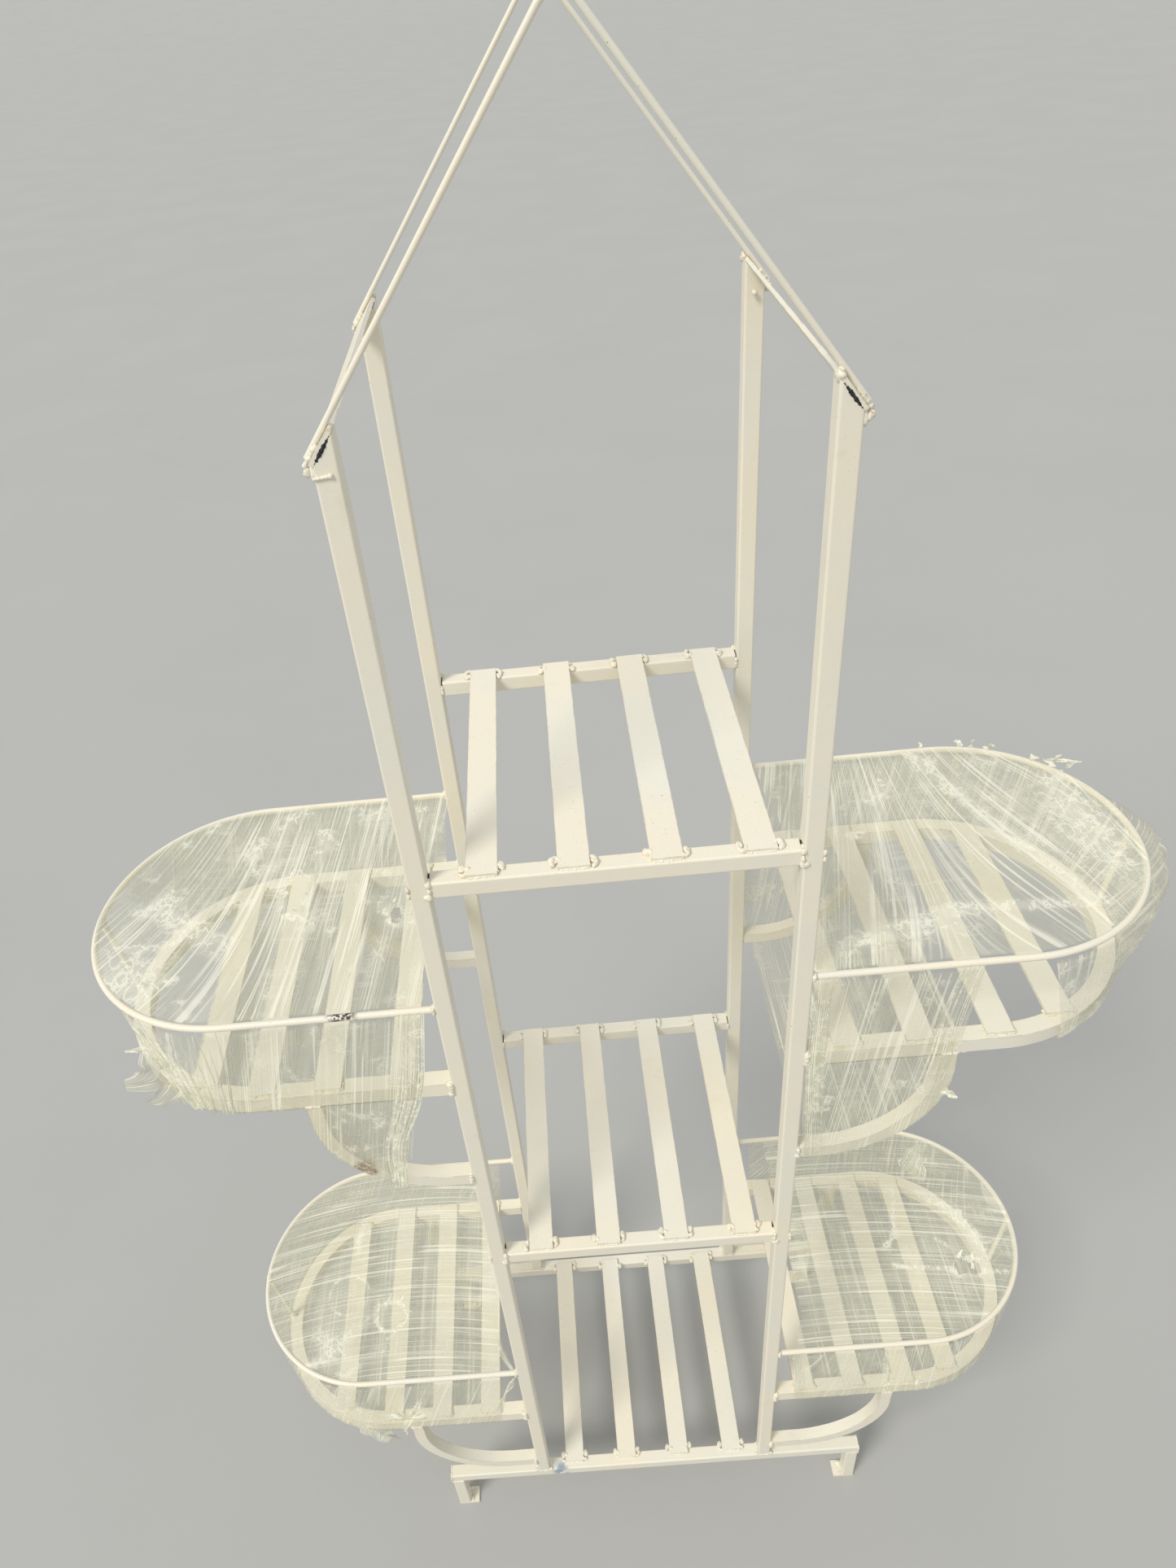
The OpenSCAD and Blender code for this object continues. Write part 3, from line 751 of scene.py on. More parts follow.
def film_piece(name, material, side, points, quads, map_u, map_v, level):
    """Makes the object of a film sheet, with its flow map and its cloud attribute."""
    used = np.unique(quads)
    back = np.full(len(points), -1)
    back[used] = np.arange(len(used))
    placed = points[used] * np.array([side, 1, 1])
    mesh = bpy.data.meshes.new(name)
    mesh.from_pydata(placed.tolist(), [], back[quads].tolist())
    mesh.shade_smooth()
    mesh.materials.append(material)
    loops = np.empty(len(mesh.loops), np.int32)
    mesh.loops.foreach_get("vertex_index", loops)
    spread = np.stack([map_u, map_v], -1)[used]
    layer = mesh.uv_layers.new(name="flow")
    layer.data.foreach_set("uv", spread[loops].astype(np.float32).reshape(-1))
    white = mesh.attributes.new("cloud", "FLOAT", "POINT")
    white.data.foreach_set("value", np.clip(level[used], -1, 1).astype(np.float32))
    made = bpy.data.objects.new(name, mesh)
    made.visible_shadow = False
    bpy.context.scene.collection.objects.link(made)
    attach(made, "root")
    return made


def drawn_to_edge(u, v, cut, nu, nv):
    """Moves the grid's points near a torn edge onto it, so that the edge is smooth."""
    reach = 0.75
    probe = 0.3
    for _ in range(3):
        here = cut(u, v)
        du = (cut(u + probe / nu, v) - cut(u - probe / nu, v)) / (2 * probe)
        dv = (cut(u, v + probe / nv) - cut(u, v - probe / nv)) / (2 * probe)
        steep = du * du + dv * dv + 1e-12
        move_u, move_v = -here * du / steep, -here * dv / steep
        close = (np.abs(move_u) < reach) & (np.abs(move_v) < reach)
        u = np.clip(u + np.where(close, move_u, 0) / nu, 0, 1)
        v = np.clip(v + np.where(close, move_v, 0) / nv, 0, 1)
    return u, v


def folds(along, across, seed, fine, broad):
    """Height of taut creases that run along the pull. fine and broad are millimetres high."""
    wander = soft_noise(along * 6, across * 12, seed) * 0.012
    tight = 1 - np.abs(soft_noise(along * 5, (across + wander) * 150, seed + 1))
    loose = soft_noise(along * 4, (across + wander) * 40, seed + 2)
    return (tight ** 3 * fine + (loose + 0.6) * broad * 0.5) * MM


def puff(points, seed, size=60.0):
    """Cloudy patches from 0 to 1 over a sheet."""
    x, y = points[..., 0], points[..., 1] + points[..., 2]
    return step(0.05, 0.6, rough_noise(x * size, y * size, seed, 4))


def over_rod(v):
    """How far a top skin's cloud drops where it lies on the rod, which shows white through it."""
    return 1.7 * (1 - step(0.030, 0.050, v)) + 1.7 * (1 - step(0.030, 0.050, 1 - v))


def under_rod(v):
    return 1.7 * (1 - step(0.02, 0.06, v))


def spot(points, x, y, rx, ry, turn=0.0):
    """1 in the middle of an oval patch in plan, in millimetres, fading to 0."""
    dx, dy = points[..., 0] / MM - x, points[..., 1] / MM - y
    c, s = math.cos(math.radians(turn)), math.sin(math.radians(turn))
    return np.exp(-((dx * c + dy * s) / rx) ** 2 - ((dy * c - dx * s) / ry) ** 2)


def line(points, start, end, width, plane=(0, 1)):
    """1 on a straight crease between two points, in millimetres, fading to 0 at its width. plane
    is the two axes it is drawn on."""
    px, py = points[..., plane[0]] / MM, points[..., plane[1]] / MM
    dx, dy = end[0] - start[0], end[1] - start[1]
    part = np.clip(((px - start[0]) * dx + (py - start[1]) * dy) / (dx * dx + dy * dy), 0, 1)
    gap = np.hypot(px - start[0] - part * dx, py - start[1] - part * dy)
    return np.exp(-(gap / width) ** 2)


def slot_hole(points, x, y, long, wide, turn, seed):
    """Distance outside a torn slot in plan, in metres: below zero inside it."""
    dx, dy = points[..., 0] - x * MM, points[..., 1] - y * MM
    c, s = math.cos(math.radians(turn)), math.sin(math.radians(turn))
    a, b = dx * c + dy * s, dy * c - dx * s
    a = a - np.clip(a, -(long - wide) * MM, (long - wide) * MM)
    ragged = rough_noise(points[..., 0] * 170, points[..., 1] * 170, seed) * wide * 0.55 * MM
    return np.hypot(a, b) - wide * MM + ragged


FILM_LIFT = 0.5 * MM
LOWER_MIDDLE = 0.33
WRAP_START = HALF_W
STRAIGHT = RIM_CENTRE - WRAP_START
AROUND = 2 * STRAIGHT + math.pi * RIM_BEND


def at_x(x):
    """Share of the way round the rim where the front straight part is x millimetres out."""
    return (x * MM - WRAP_START) / AROUND


def at_turn(degrees):
    """Share of the way round the rim at an angle of its round end, -90 at the front."""
    return (STRAIGHT + RIM_BEND * math.radians(degrees + 90)) / AROUND


def round_way(share):
    """Point, outward direction and angle on the rim's centre line at a share of the way round."""
    gone = share * AROUND
    turn = np.clip((gone - STRAIGHT) / RIM_BEND, 0, math.pi) - math.pi / 2
    front, back = gone < STRAIGHT, gone > AROUND - STRAIGHT
    x = RIM_CENTRE + RIM_BEND * np.cos(turn)
    x = np.where(front, WRAP_START + gone, np.where(back, WRAP_START + AROUND - gone, x))
    y = RIM_BEND * np.sin(turn)
    ny = np.where(front, -1.0, np.where(back, 1.0, np.sin(turn)))
    nx = np.where(front | back, 0.0, np.cos(turn))
    return x, y, nx, ny, turn


def plan_point(u, half_width, centre, start):
    """Out from the inner edge at u 0 to the round end at u 1: x, half the width and the outward
    direction at the sheet's front and back edges."""
    bent = np.clip((u - 0.5) / 0.5, 0, 1) * math.pi / 2
    straight = u < 0.5
    x = np.where(straight, start + u / 0.5 * (centre - start), centre + half_width * np.sin(bent))
    half = np.where(straight, half_width, half_width * np.cos(bent))
    return x, half, np.where(straight, 0, np.sin(bent)), np.where(straight, 1, np.cos(bent))


def top_shape(level, inner, sag):
    """The skin over a rim: u out from the inner edge, v from front to back, with a lip that goes
    over the outside of the rod at both edges. inner gives the inner edge's x at each y."""
    rod = RIM_R + FILM_LIFT
    lip = 0.03
    start = 175 * MM

    def shape(u, v):
        x, half, nx, ny = plan_point(u, RIM_BEND, RIM_CENTRE, start)
        flat = np.clip((v - lip) / (1 - 2 * lip), 0, 1) * 2 - 1
        over = np.maximum(np.maximum(lip - v, v - 1 + lip), 0) / lip * math.pi / 2
        y = flat * half
        x = x + (inner(y / MM) * MM - start) * np.clip(1 - u / 0.45, 0, 1) ** 1.5
        z = RIM_Z[level] + rod * np.cos(over) - sag * (1 - flat ** 4) * half / RIM_BEND
        return np.stack([x + nx * rod * np.sin(over), y + np.sign(v - 0.5) * ny * rod * np.sin(over), z], -1)

    return shape


def wall_shape(level, first, last, bulge=None, bend=1.0):
    """The skin round the outside: u along the rim from first to last, v from the rim down to the
    floor frame's lower edge and a little way under it. first and last are shares of the way
    round at the rim and at the bottom, and bend is how the last edge curves between them."""
    rod = RIM_R + FILM_LIFT
    tuck_depth = 6 * MM
    reach = 0.93
    bottom = FLOOR_Z[level] - TUBE
    shift = RIM_CENTRE - FLOOR_CENTRE

    def shape(u, v):
        start = first[0] + (first[1] - first[0]) * v
        end = last[0] + (last[1] - last[0]) * v ** bend
        share = start + (end - start) * u
        x, y, nx, ny, turn = round_way(share)
        fall = np.clip(v / reach, 0, 1)
        tuck = np.clip((v - reach) / (1 - reach), 0, 1)
        out = rod + (FLOOR_BEND + FILM_LIFT - RIM_BEND - rod) * fall - tuck * tuck_depth
        px = x + nx * out - shift * fall * np.sqrt(np.clip(nx, 0, 1))
        py = y + ny * out
        if bulge is not None:
            swell = bulge(np.degrees(turn), fall)
            px, py = px + nx * swell, py + ny * swell
        z = RIM_Z[level] + (bottom - 0.8 * MM - RIM_Z[level]) * fall
        return np.stack([px, py, z], -1)

    return shape


def apron_shape(row, left):
    """The skin beside an upper bracket, from the floor frame down: u out from the inner edge,
    v down. left gives the inner edge's x at each z."""
    top = FLOOR_Z["upper"] - TUBE
    foot = ARM_Z["upper"] - FILM_LIFT
    centre_x, centre_z = ARM_X["upper"] - ARM_BEND, ARM_Z["upper"] + ARM_BEND
    reach = ARM_BEND + FILM_LIFT

    def shape(u, v):
        z = top + (foot - top) * v
        drop = np.clip(centre_z - z, 0, reach)
        right = centre_x + np.sqrt(reach ** 2 - drop ** 2)
        start = np.minimum(left(z / MM) * MM, right - 1 * MM)
        return np.stack([start + (right - start) * u, row * (HALF_D + 0.6 * MM) + 0 * u, z], -1)

    return shape


def under_shape(start, end):
    """The skin under an upper basket: u along the outside of the brackets' bend from x start, up
    it and out under the floor frame to x end, v from front to back."""
    foot = ARM_Z["upper"] - FILM_LIFT
    top = FLOOR_Z["upper"] - TUBE - FILM_LIFT
    centre_x = ARM_X["upper"] - ARM_BEND
    reach = ARM_BEND + FILM_LIFT
    path = [(max(start * MM, centre_x - 12 * MM), foot)] if start * MM < centre_x else []
    first = max(-90.0, -90 + math.degrees(math.asin(max(0.0, (start * MM - centre_x) / reach))))
    for degrees in np.linspace(first, 0, 40):
        turn = math.radians(degrees)
        path.append((centre_x + reach * math.cos(turn), foot + reach + reach * math.sin(turn)))
    path.append((centre_x + reach, top - 1.5 * MM))
    path.append((centre_x + reach + 1.5 * MM, top))
    path.append((end * MM, top))
    path = np.array(path)
    far = np.concatenate([[0], np.cumsum(np.hypot(*np.diff(path, axis=0).T))])

    def shape(u, v):
        gone = u * far[-1]
        x, z = np.interp(gone, far, path[:, 0]), np.interp(gone, far, path[:, 1])
        half = np.where(x > FLOOR_CENTRE, np.sqrt(np.maximum(
            FLOOR_BEND ** 2 - np.maximum(x - FLOOR_CENTRE, 0) ** 2, 0)), FLOOR_BEND)
        return np.stack([x, (v * 2 - 1) * (half + FILM_LIFT), z], -1)

    return shape


def bottom_shape(start):
    """The skin under a lower floor frame: u out from the inner edge, v from front to back."""
    z = FLOOR_Z["lower"] - TUBE - FILM_LIFT

    def shape(u, v):
        x, half, _, _ = plan_point(u, FLOOR_BEND - 1 * MM, FLOOR_CENTRE, start * MM)
        return np.stack([x, (v * 2 - 1) * half, z + 0 * u], -1)

    return shape


def arm_notch(points):
    """Distance outside the two lower bracket tops in plan: the lower skin is torn open there."""
    middle = ARM_X["lower"] - ARM_TUBE / 2
    dx = np.abs(points[..., 0] - middle) - ARM_TUBE / 2 - 1.5 * MM
    dy = (HALF_D - ARM_TUBE - 1.5 * MM) - np.abs(points[..., 1])
    return np.maximum(dx, dy)


# Loose strips: tails, strands and knots

# Where strips leave the film, in millimetres: the middles of the round ends of a rim and of a
# floor frame, how far out their film lies, and a spot just over each rim
ROUND_X = 346
ROUND_OUT = 148
FLOOR_ROUND_X = 342
FLOOR_ROUND_OUT = 152
OVER_RIM = {"upper": 1069, "lower": 389.6}
STRIP_CELL = 2.5


class Strips:
    """Narrow bands of film gathered into one mesh."""

    def __init__(self):
        self.points, self.quads, self.along, self.across, self.level = [], [], [], [], []
        self.count = 0

    def front(self, path, *look, **options):
        """A band whose points are x, how far they stand off the frame's front face, and z."""
        self.add([(x, -FACE - out, z) for x, out, z in path], *look, **options)

    def add(self, path, width, seed, facing=(0, -1, 0), twist=0.0, pleat=0.25, lanes=4, cloud=0.7):
        """A band along smooth points in millimetres. width is full, in millimetres, at the start,
        the middle and the end; facing is its normal, turned by twist degrees on the way."""
        line_points = smooth_path(path)
        count = len(line_points)
        share = np.linspace(0, 1, count)
        wide = np.interp(share, [0, 0.5, 1], width) * (1 + 0.25 * soft_noise(share * 9, 0 * share, seed))
        tangent = np.gradient(line_points, axis=0)
        tangent = tangent / np.maximum(np.linalg.norm(tangent, axis=1, keepdims=True), 1e-9)
        side = np.cross(tangent, np.array(facing, float))
        side = side / np.maximum(np.linalg.norm(side, axis=1, keepdims=True), 1e-9)
        face = np.cross(side, tangent)
        spin = np.radians(twist * share + 25 * soft_noise(share * 5, 0 * share, seed + 1))[:, None]
        lane = side * np.cos(spin) + face * np.sin(spin)
        lift = face * np.cos(spin) - side * np.sin(spin)
        rows = []
        for k in range(lanes + 1):
            part = k / lanes - 0.5
            wave = pleat * soft_noise(share * 3 + k * 0.3, 0 * share + k * 0.8, seed + 2) * wide
            rows.append(line_points + lane * (part * wide)[:, None] + lift * wave[:, None])
            self.along.append(share * count * STRIP_CELL * MM)
            self.across.append(0 * share + part * float(np.mean(wide)) * MM + seed * 0.013)
            self.level.append(0 * share + cloud)
        index = self.count + np.arange(count * (lanes + 1)).reshape(lanes + 1, count)
        self.points.append(np.concatenate(rows) * MM)
        self.quads.append(np.stack([index[:-1, :-1], index[1:, :-1], index[1:, 1:], index[:-1, 1:]],
                                   -1).reshape(-1, 4))
        self.count += count * (lanes + 1)

    def piece(self, name, material, side):
        return film_piece(name, material, side, np.concatenate(self.points), np.concatenate(self.quads),
                          np.concatenate(self.along), np.concatenate(self.across),
                          np.concatenate(self.level))


def smooth_path(path):
    """Points at about a cell apart on a smooth curve through the given ones."""
    path = np.array(path, float)
    padded = np.vstack([2 * path[0] - path[1], path, 2 * path[-1] - path[-2]])
    out = []
    for i in range(1, len(padded) - 2):
        a, b, c, d = padded[i - 1:i + 3]
        count = max(2, int(np.linalg.norm(c - b) / STRIP_CELL))
        t = np.linspace(0, 1, count, endpoint=False)[:, None]
        out.append(0.5 * (2 * b + (c - a) * t + (2 * a - 5 * b + 4 * c - d) * t ** 2
                          + (3 * b - a - 3 * c + d) * t ** 3))
    out.append(path[-1:])
    return np.vstack(out)


def curl(start, heading, length, size, seed):
    """A curling path for a loose tail, from a point along a heading, in millimetres."""
    pick = random.Random(seed)
    at, way = np.array(start, float), np.array(heading, float)
    way = way / np.linalg.norm(way)
    bend = np.array([pick.uniform(-1, 1), pick.uniform(-1, 1), pick.uniform(-0.4, 1)])
    path, count = [at.copy()], 7
    for i in range(count):
        way = way + bend * size * (i / count)
        way = way / np.linalg.norm(way)
        at = at + way * length / count
        path.append(at.copy())
    return path


# ---------------------------------------------------------------- each basket's own wrap

class Wrap:
    """One basket's film: its sheets, added one by one, and its loose strips."""

    def __init__(self, place, film, strand):
        self.place = place
        self.level, side_name = place.split("_")
        self.side = dict(SIDES)[side_name]
        self.film = film
        self.strand = strand
        self.sheets = []
        self.loose = Strips()

    def sheet(self, kind, shape, cells, flow, cloud, relief=None, cut=None, row=""):
        name = "film_" + kind + "_" + self.place + row
        self.sheets.append(film_sheet(name, self.film, self.side, self.level, shape, cells, flow, cloud,
                                      relief, cut))

    def top(self, inner, sag, flow, cloud, relief, torn=None):
        self.sheet("top", top_shape(self.level, inner, sag * MM), (150, 140), flow, cloud, relief, torn)

    def declare(self):
        """Makes the loose strips into one piece and hides the CAD shell that the sheets replace."""
        tails = self.loose.piece("film_tails_" + self.place, self.strand, self.side)
        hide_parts("film_" + self.place)


def top_relief(flow, cloud, seed, grain, height, broad=1.0, extra=None):
    """Folds along the pull and crumples where a top skin is white, all flat along the rod."""

    def relief(p, u, v):
        edge = step(0.03, 0.10, v) * step(0.03, 0.10, 1 - v)
        crumple = rough_noise(p[..., 0] * grain, p[..., 1] * grain, seed) * height * MM * cloud(p, u, v)
        rise = folds(*flow(*axes(p)), seed + 2, 0.5, broad) + crumple
        return (rise + (extra(p) if extra else 0)) * edge

    return relief


def side_relief(flow, seed, fine, broad, fade=0.08, gather=None):
    """Folds along the pull that fade out at the rim."""

    def relief(p, u, v):
        rise = folds(*flow(*axes(p)), seed, fine, broad)
        return (rise + (gather(u, v) if gather else 0)) * step(0, fade, v)

    return relief


def aprons(wrap, left, cells, flow, white, edge, seed):
    """The skins beside the two upper brackets. edge is the whiteness and width of the inner edge."""

    def cloud(p, u, v):
        return np.clip(white * puff(p, seed, 60) + edge[0] * np.exp(-(u / edge[1]) ** 2), 0, 1)

    def relief(p, u, v):
        return folds(*flow(*axes(p)), seed + 2, 0.4, 0.8) * step(0, 0.1, 1 - u)

    for name, row in ROWS:
        wrap.sheet("apron", apron_shape(row, left), cells, flow, cloud, relief, row="_" + name)


def under_flow(x, y, z):
    return y, x + z


def lower_skins(wrap, first, last, flow, cloud, inner, broad, seed):
    """The wall and the bottom of a lower basket's film."""

    def bottom_flow(x, y, z):
        return y, x

    def bottom_relief(p, u, v):
        return folds(p[..., 1], p[..., 0], seed + 4, 0.4, 0.8)

    wrap.sheet("wall", wall_shape("lower", first, last), (330, 46), flow, cloud,
               side_relief(flow, seed, 0.4, broad))
    wrap.sheet("under", bottom_shape(inner), (140, 140), bottom_flow,
               lambda p, u, v: 0.35 * puff(p, seed + 2, 60), bottom_relief, arm_notch)


def wrap_upper_left(wrap):
    def inner(y):
        return 172 - 15 * step(30, 135, y) + 1.6 * soft_noise(y / 11, 0 * y, 5)

    def flow(x, y, z):
        return y, x + (0.10 + 0.0032 * np.clip(x / MM - 316, 0, 150)) * y

    def torn(p):
        return np.minimum(slot_hole(p, 303, 8, 27, 9, 94, 21), slot_hole(p, 201, -31, 11, 4.5, 80, 25))

    def cloud(p, u, v):
        rim = np.exp(-np.maximum(torn(p), 0) / (6 * MM))
        tip = spot(p, 447, -78, 34, 46, -30) + spot(p, 405, -20, 60, 16, 40)
        broad = 0.75 * puff(p, 31, 42) + 0.35 * puff(p, 37, 110)
        white = rim + 0.9 * tip + broad * (0.6 + 0.5 * spot(p, 280, 90, 120, 60))
        return np.clip(white, 0, 1) - over_rod(v)

    def lip(p):
        return np.exp(-np.maximum(torn(p), 0) / (4 * MM)) * 1.6 * MM

    wrap.top(inner, 2.5, flow, cloud, top_relief(flow, cloud, 41, 120, 1.1, extra=lip), torn)

    def down(x, y, z):
        return z + 0.25 * x, x + 0.20 * z

    def front_cloud(p, u, v):
        white = 0.55 * puff(p, 51, 50) + 0.7 * step(0.62, 1.0, u) ** 2
        white = white + 0.15 * np.exp(-(u / 0.07) ** 2) + 0.15 * step(0.75, 1, v)
        return np.clip(white, 0, 1) - under_rod(v)

    def gather(u, v):
        return step(0.55, 1.0, u) * 1.6 * MM * soft_noise(u * 60 + v * 9, v * 2, 53)

    def back_cloud(p, u, v):
        white = 0.5 * puff(p, 57, 50) + 0.4 * np.exp(-((1 - u) / 0.06) ** 2)
        return np.clip(white, 0, 1) - under_rod(v) - 1.3 * (1 - step(0, 0.30, u))

    front = wall_shape("upper", (at_x(171), at_x(195)), (at_turn(-47), at_turn(-64)), bend=0.7)
    wrap.sheet("wall", front, (150, 44), down, front_cloud, side_relief(down, 55, 0.6, 1.4, gather=gather))
    back = wall_shape("upper", (at_turn(2), at_turn(20)), (1 - at_x(163), 1 - at_x(177)))
    wrap.sheet("back", back, (150, 40), down, back_cloud, side_relief(down, 59, 0.6, 1.2))

    def left(z):
        return 194 + (957 - z) * 0.238 + 1.5 * soft_noise(z / 9, 0 * z, 61)

    aprons(wrap, left, (40, 54), down, 0.6, (0.2, 0.3), 63)
    wrap.sheet("under", under_shape(222, 412), (90, 90), under_flow,
               lambda p, u, v: 0.6 * puff(p, 67, 50) + 0.7 * step(0.9, 1, u))
    tails_upper_left(wrap.loose)


def round_end(middle, reach, turn):
    return middle + reach * math.cos(turn), reach * math.sin(turn)


def tails_upper_left(loose):
    """Strands beside the upright and down the front, the flap at the end, and the holes' curls."""
    pick = random.Random(71)
    for i in range(13):
        x0, x1 = 170 + i * 1.7 + pick.uniform(-1, 1), 222 + i * 1.5 + pick.uniform(-2, 2)
        sway = pick.uniform(-3, 3)
        loose.front([(x0, 0.6, 1068), (x0 * 0.6 + x1 * 0.4 + sway, 1.6, 960), (x1 - 5, 1.6, 880),
                     (x1, 1.4, 822 + pick.uniform(-4, 6))],
                    (pick.uniform(0.6, 1.6), pick.uniform(0.8, 2.4), pick.uniform(0.8, 2.2)), 73 + i)
    for i in range(5):
        x = 225 + i * 2.6
        loose.add([(x - 3, -151.6, 846), (x, -152.0, 816), (x + 1, -147, 806.6), (x + 1, -139, 806.4),
                   (x, -134.6, 812)], (2.4, 3.6, 2.6), 91 + i, cloud=0.85)
    loose.add([(420, -128, 1012), (432, -124, 985), (452, -118, 966), (473, -112, 957)], (30, 40, 12), 97,
              twist=25, pleat=0.10, lanes=9, cloud=-0.32)
    loose.add([(412, -134, 976), (428, -130, 958), (440, -128, 947), (452, -124, 941)], (34, 26, 8), 99,
              twist=-20, pleat=0.10, lanes=9, cloud=-0.32)
    for i in range(12):
        turn = math.radians(-88 + i * 3.6 + pick.uniform(-1, 1))
        foot = math.radians(-82 + i * 2.0 + pick.uniform(-1, 1))
        top_x, top_y = round_end(ROUND_X, ROUND_OUT + 0.6, turn)
        foot_x, foot_y = round_end(FLOOR_ROUND_X, FLOOR_ROUND_OUT, foot)
        loose.add([(top_x, top_y, 1066), ((top_x + foot_x) / 2 - 2, (top_y + foot_y) / 2 - 1, 1004),
                   (foot_x, foot_y, 951)], (0.7, pick.uniform(1.2, 2.6), pick.uniform(1, 3)), 121 + i,
                  cloud=0.3)
    loose.add([(428, -126, 1024), (441, -122, 1018), (452, -121, 1016)], (5, 6, 2), 103, cloud=0.9)
    loose.add([(447, -104, 1066), (436, -114, 1036), (424, -124, 1004), (408, -136, 970),
               (398, -140, 950.5)], (5, 12, 9), 101, facing=(0.5, -0.8, 0), lanes=8)
    curls = ((297, 34, 1, 1), (312, 33, -1, 1), (296, -14, 1, -1), (311, -17, 0, -1),
             (197, -40, 1, 1), (205, -22, -1, -1), (200, -20, 1, 0))
    for i, (x, y, heading_x, heading_y) in enumerate(curls):
        path = curl((x, y, OVER_RIM["upper"] + 0.8), (heading_x, heading_y, 0.9), 11, 0.9, 107 + i)
        loose.add(path, (4, 3, 0.8), 111 + i, facing=(0, 0.3, 1), cloud=1)


def wrap_upper_right(wrap):
    def inner(y):
        return 164 + 11 * np.exp(-((y - 30) / 75) ** 2) + 1.2 * soft_noise(y / 13, 0 * y, 205)

    def flow(x, y, z):
        slant = 0.67 * step(215, 400, x / MM) - 0.24 - 0.28 * step(400, 480, x / MM)
        return y, x + slant * y

    def cloud(p, u, v):
        bundle = line(p, (196, -118), (300, -84), 9) + line(p, (300, -84), (425, -92), 8)
        bundle = bundle + spot(p, 262, -108, 60, 17, 4)
        band = line(p, (322, 150), (372, 20), 9) + line(p, (372, 20), (420, -84), 8)
        sheet = 0.55 * step(0, 30, (p[..., 0] / MM - 322) + (p[..., 1] / MM - 150) * 0.42)
        broad = 0.8 * puff(p, 211, 55) * (0.35 + spot(p, 250, 50, 70, 90))
        tip = spot(p, 455, 10, 22, 70) * 0.7
        return np.clip(0.8 * bundle + 0.75 * band + 0.5 * sheet + broad + tip, 0, 1) - over_rod(v)

    def gather(p):
        across = line(p, (196, -118), (300, -84), 22) * 1.5 * MM
        return across * soft_noise(p[..., 0] * 40, p[..., 1] * 240, 245)

    wrap.top(inner, 2.5, flow, cloud, top_relief(flow, cloud, 241, 110, 1.2, extra=gather))

    def down(x, y, z):
        return z + 0.1 * x, x - 0.12 * z + y * 0.4

    def side_cloud(p, u, v):
        edges = np.exp(-(u / 0.10) ** 2) + np.exp(-((1 - u) / 0.05) ** 2)
        return np.clip(0.6 * puff(p, 251, 70) + 0.25 * edges, 0, 1) - under_rod(v)

    def fall_flow(x, y, z):
        return z, 0.22 * np.arctan2(y, x - 0.25) + 0.10 * z

    def bulge(turn, fall):
        reach = np.interp(turn, (-84, -60, -48, -36, -34, -22, -20, -9, -6, 4, 20, 36, 60),
                          (0, 0, 2, 7, 11, 15, 20, 22, 29, 30, 13, 4, 0)) * MM
        fins = 1 + 0.06 * soft_noise(turn / 7, fall * 3, 261)
        return reach * fins * np.sin(np.clip(fall, 0, 1) ** 0.55 * math.pi) ** 0.8

    def end_cloud(p, u, v):
        white = 0.22 + 0.5 * puff(p, 263, 60) + 0.5 * np.exp(-(u / 0.04) ** 2)
        white = white + 0.45 * step(0.7, 1, v) + 0.3 * np.exp(-((v - 0.4) / 0.04) ** 2)
        return np.clip(white, 0, 1) - under_rod(v)

    relief = side_relief(down, 253, 0.5, 1.0)
    front = wall_shape("upper", (at_x(161.5), at_x(161.5)), (at_x(304), at_x(295)))
    wrap.sheet("wall", front, (70, 44), down, side_cloud, relief)
    end = wall_shape("upper", (at_turn(-84), at_turn(-70)), (at_turn(78), at_turn(78)), bulge)
    wrap.sheet("end", end, (170, 48), fall_flow, end_cloud, side_relief(fall_flow, 265, 0.8, 2.4, 0.1))
    back = wall_shape("upper", (at_turn(74), at_turn(74)), (1 - at_x(163), 1 - at_x(163)))
    wrap.sheet("back", back, (90, 40), down, side_cloud, relief)

    def left(z):
        return 159 + 5 * step(870, 820, z) + 1.5 + 0.8 * soft_noise(z / 9, 0 * z, 271)

    aprons(wrap, left, (60, 60), down, 0.75, (0.15, 0.1), 273)
    wrap.sheet("under", under_shape(164, 304), (80, 90), under_flow, lambda p, u, v: 0.6 * puff(p, 277, 50))
    tails_upper_right(wrap.loose)


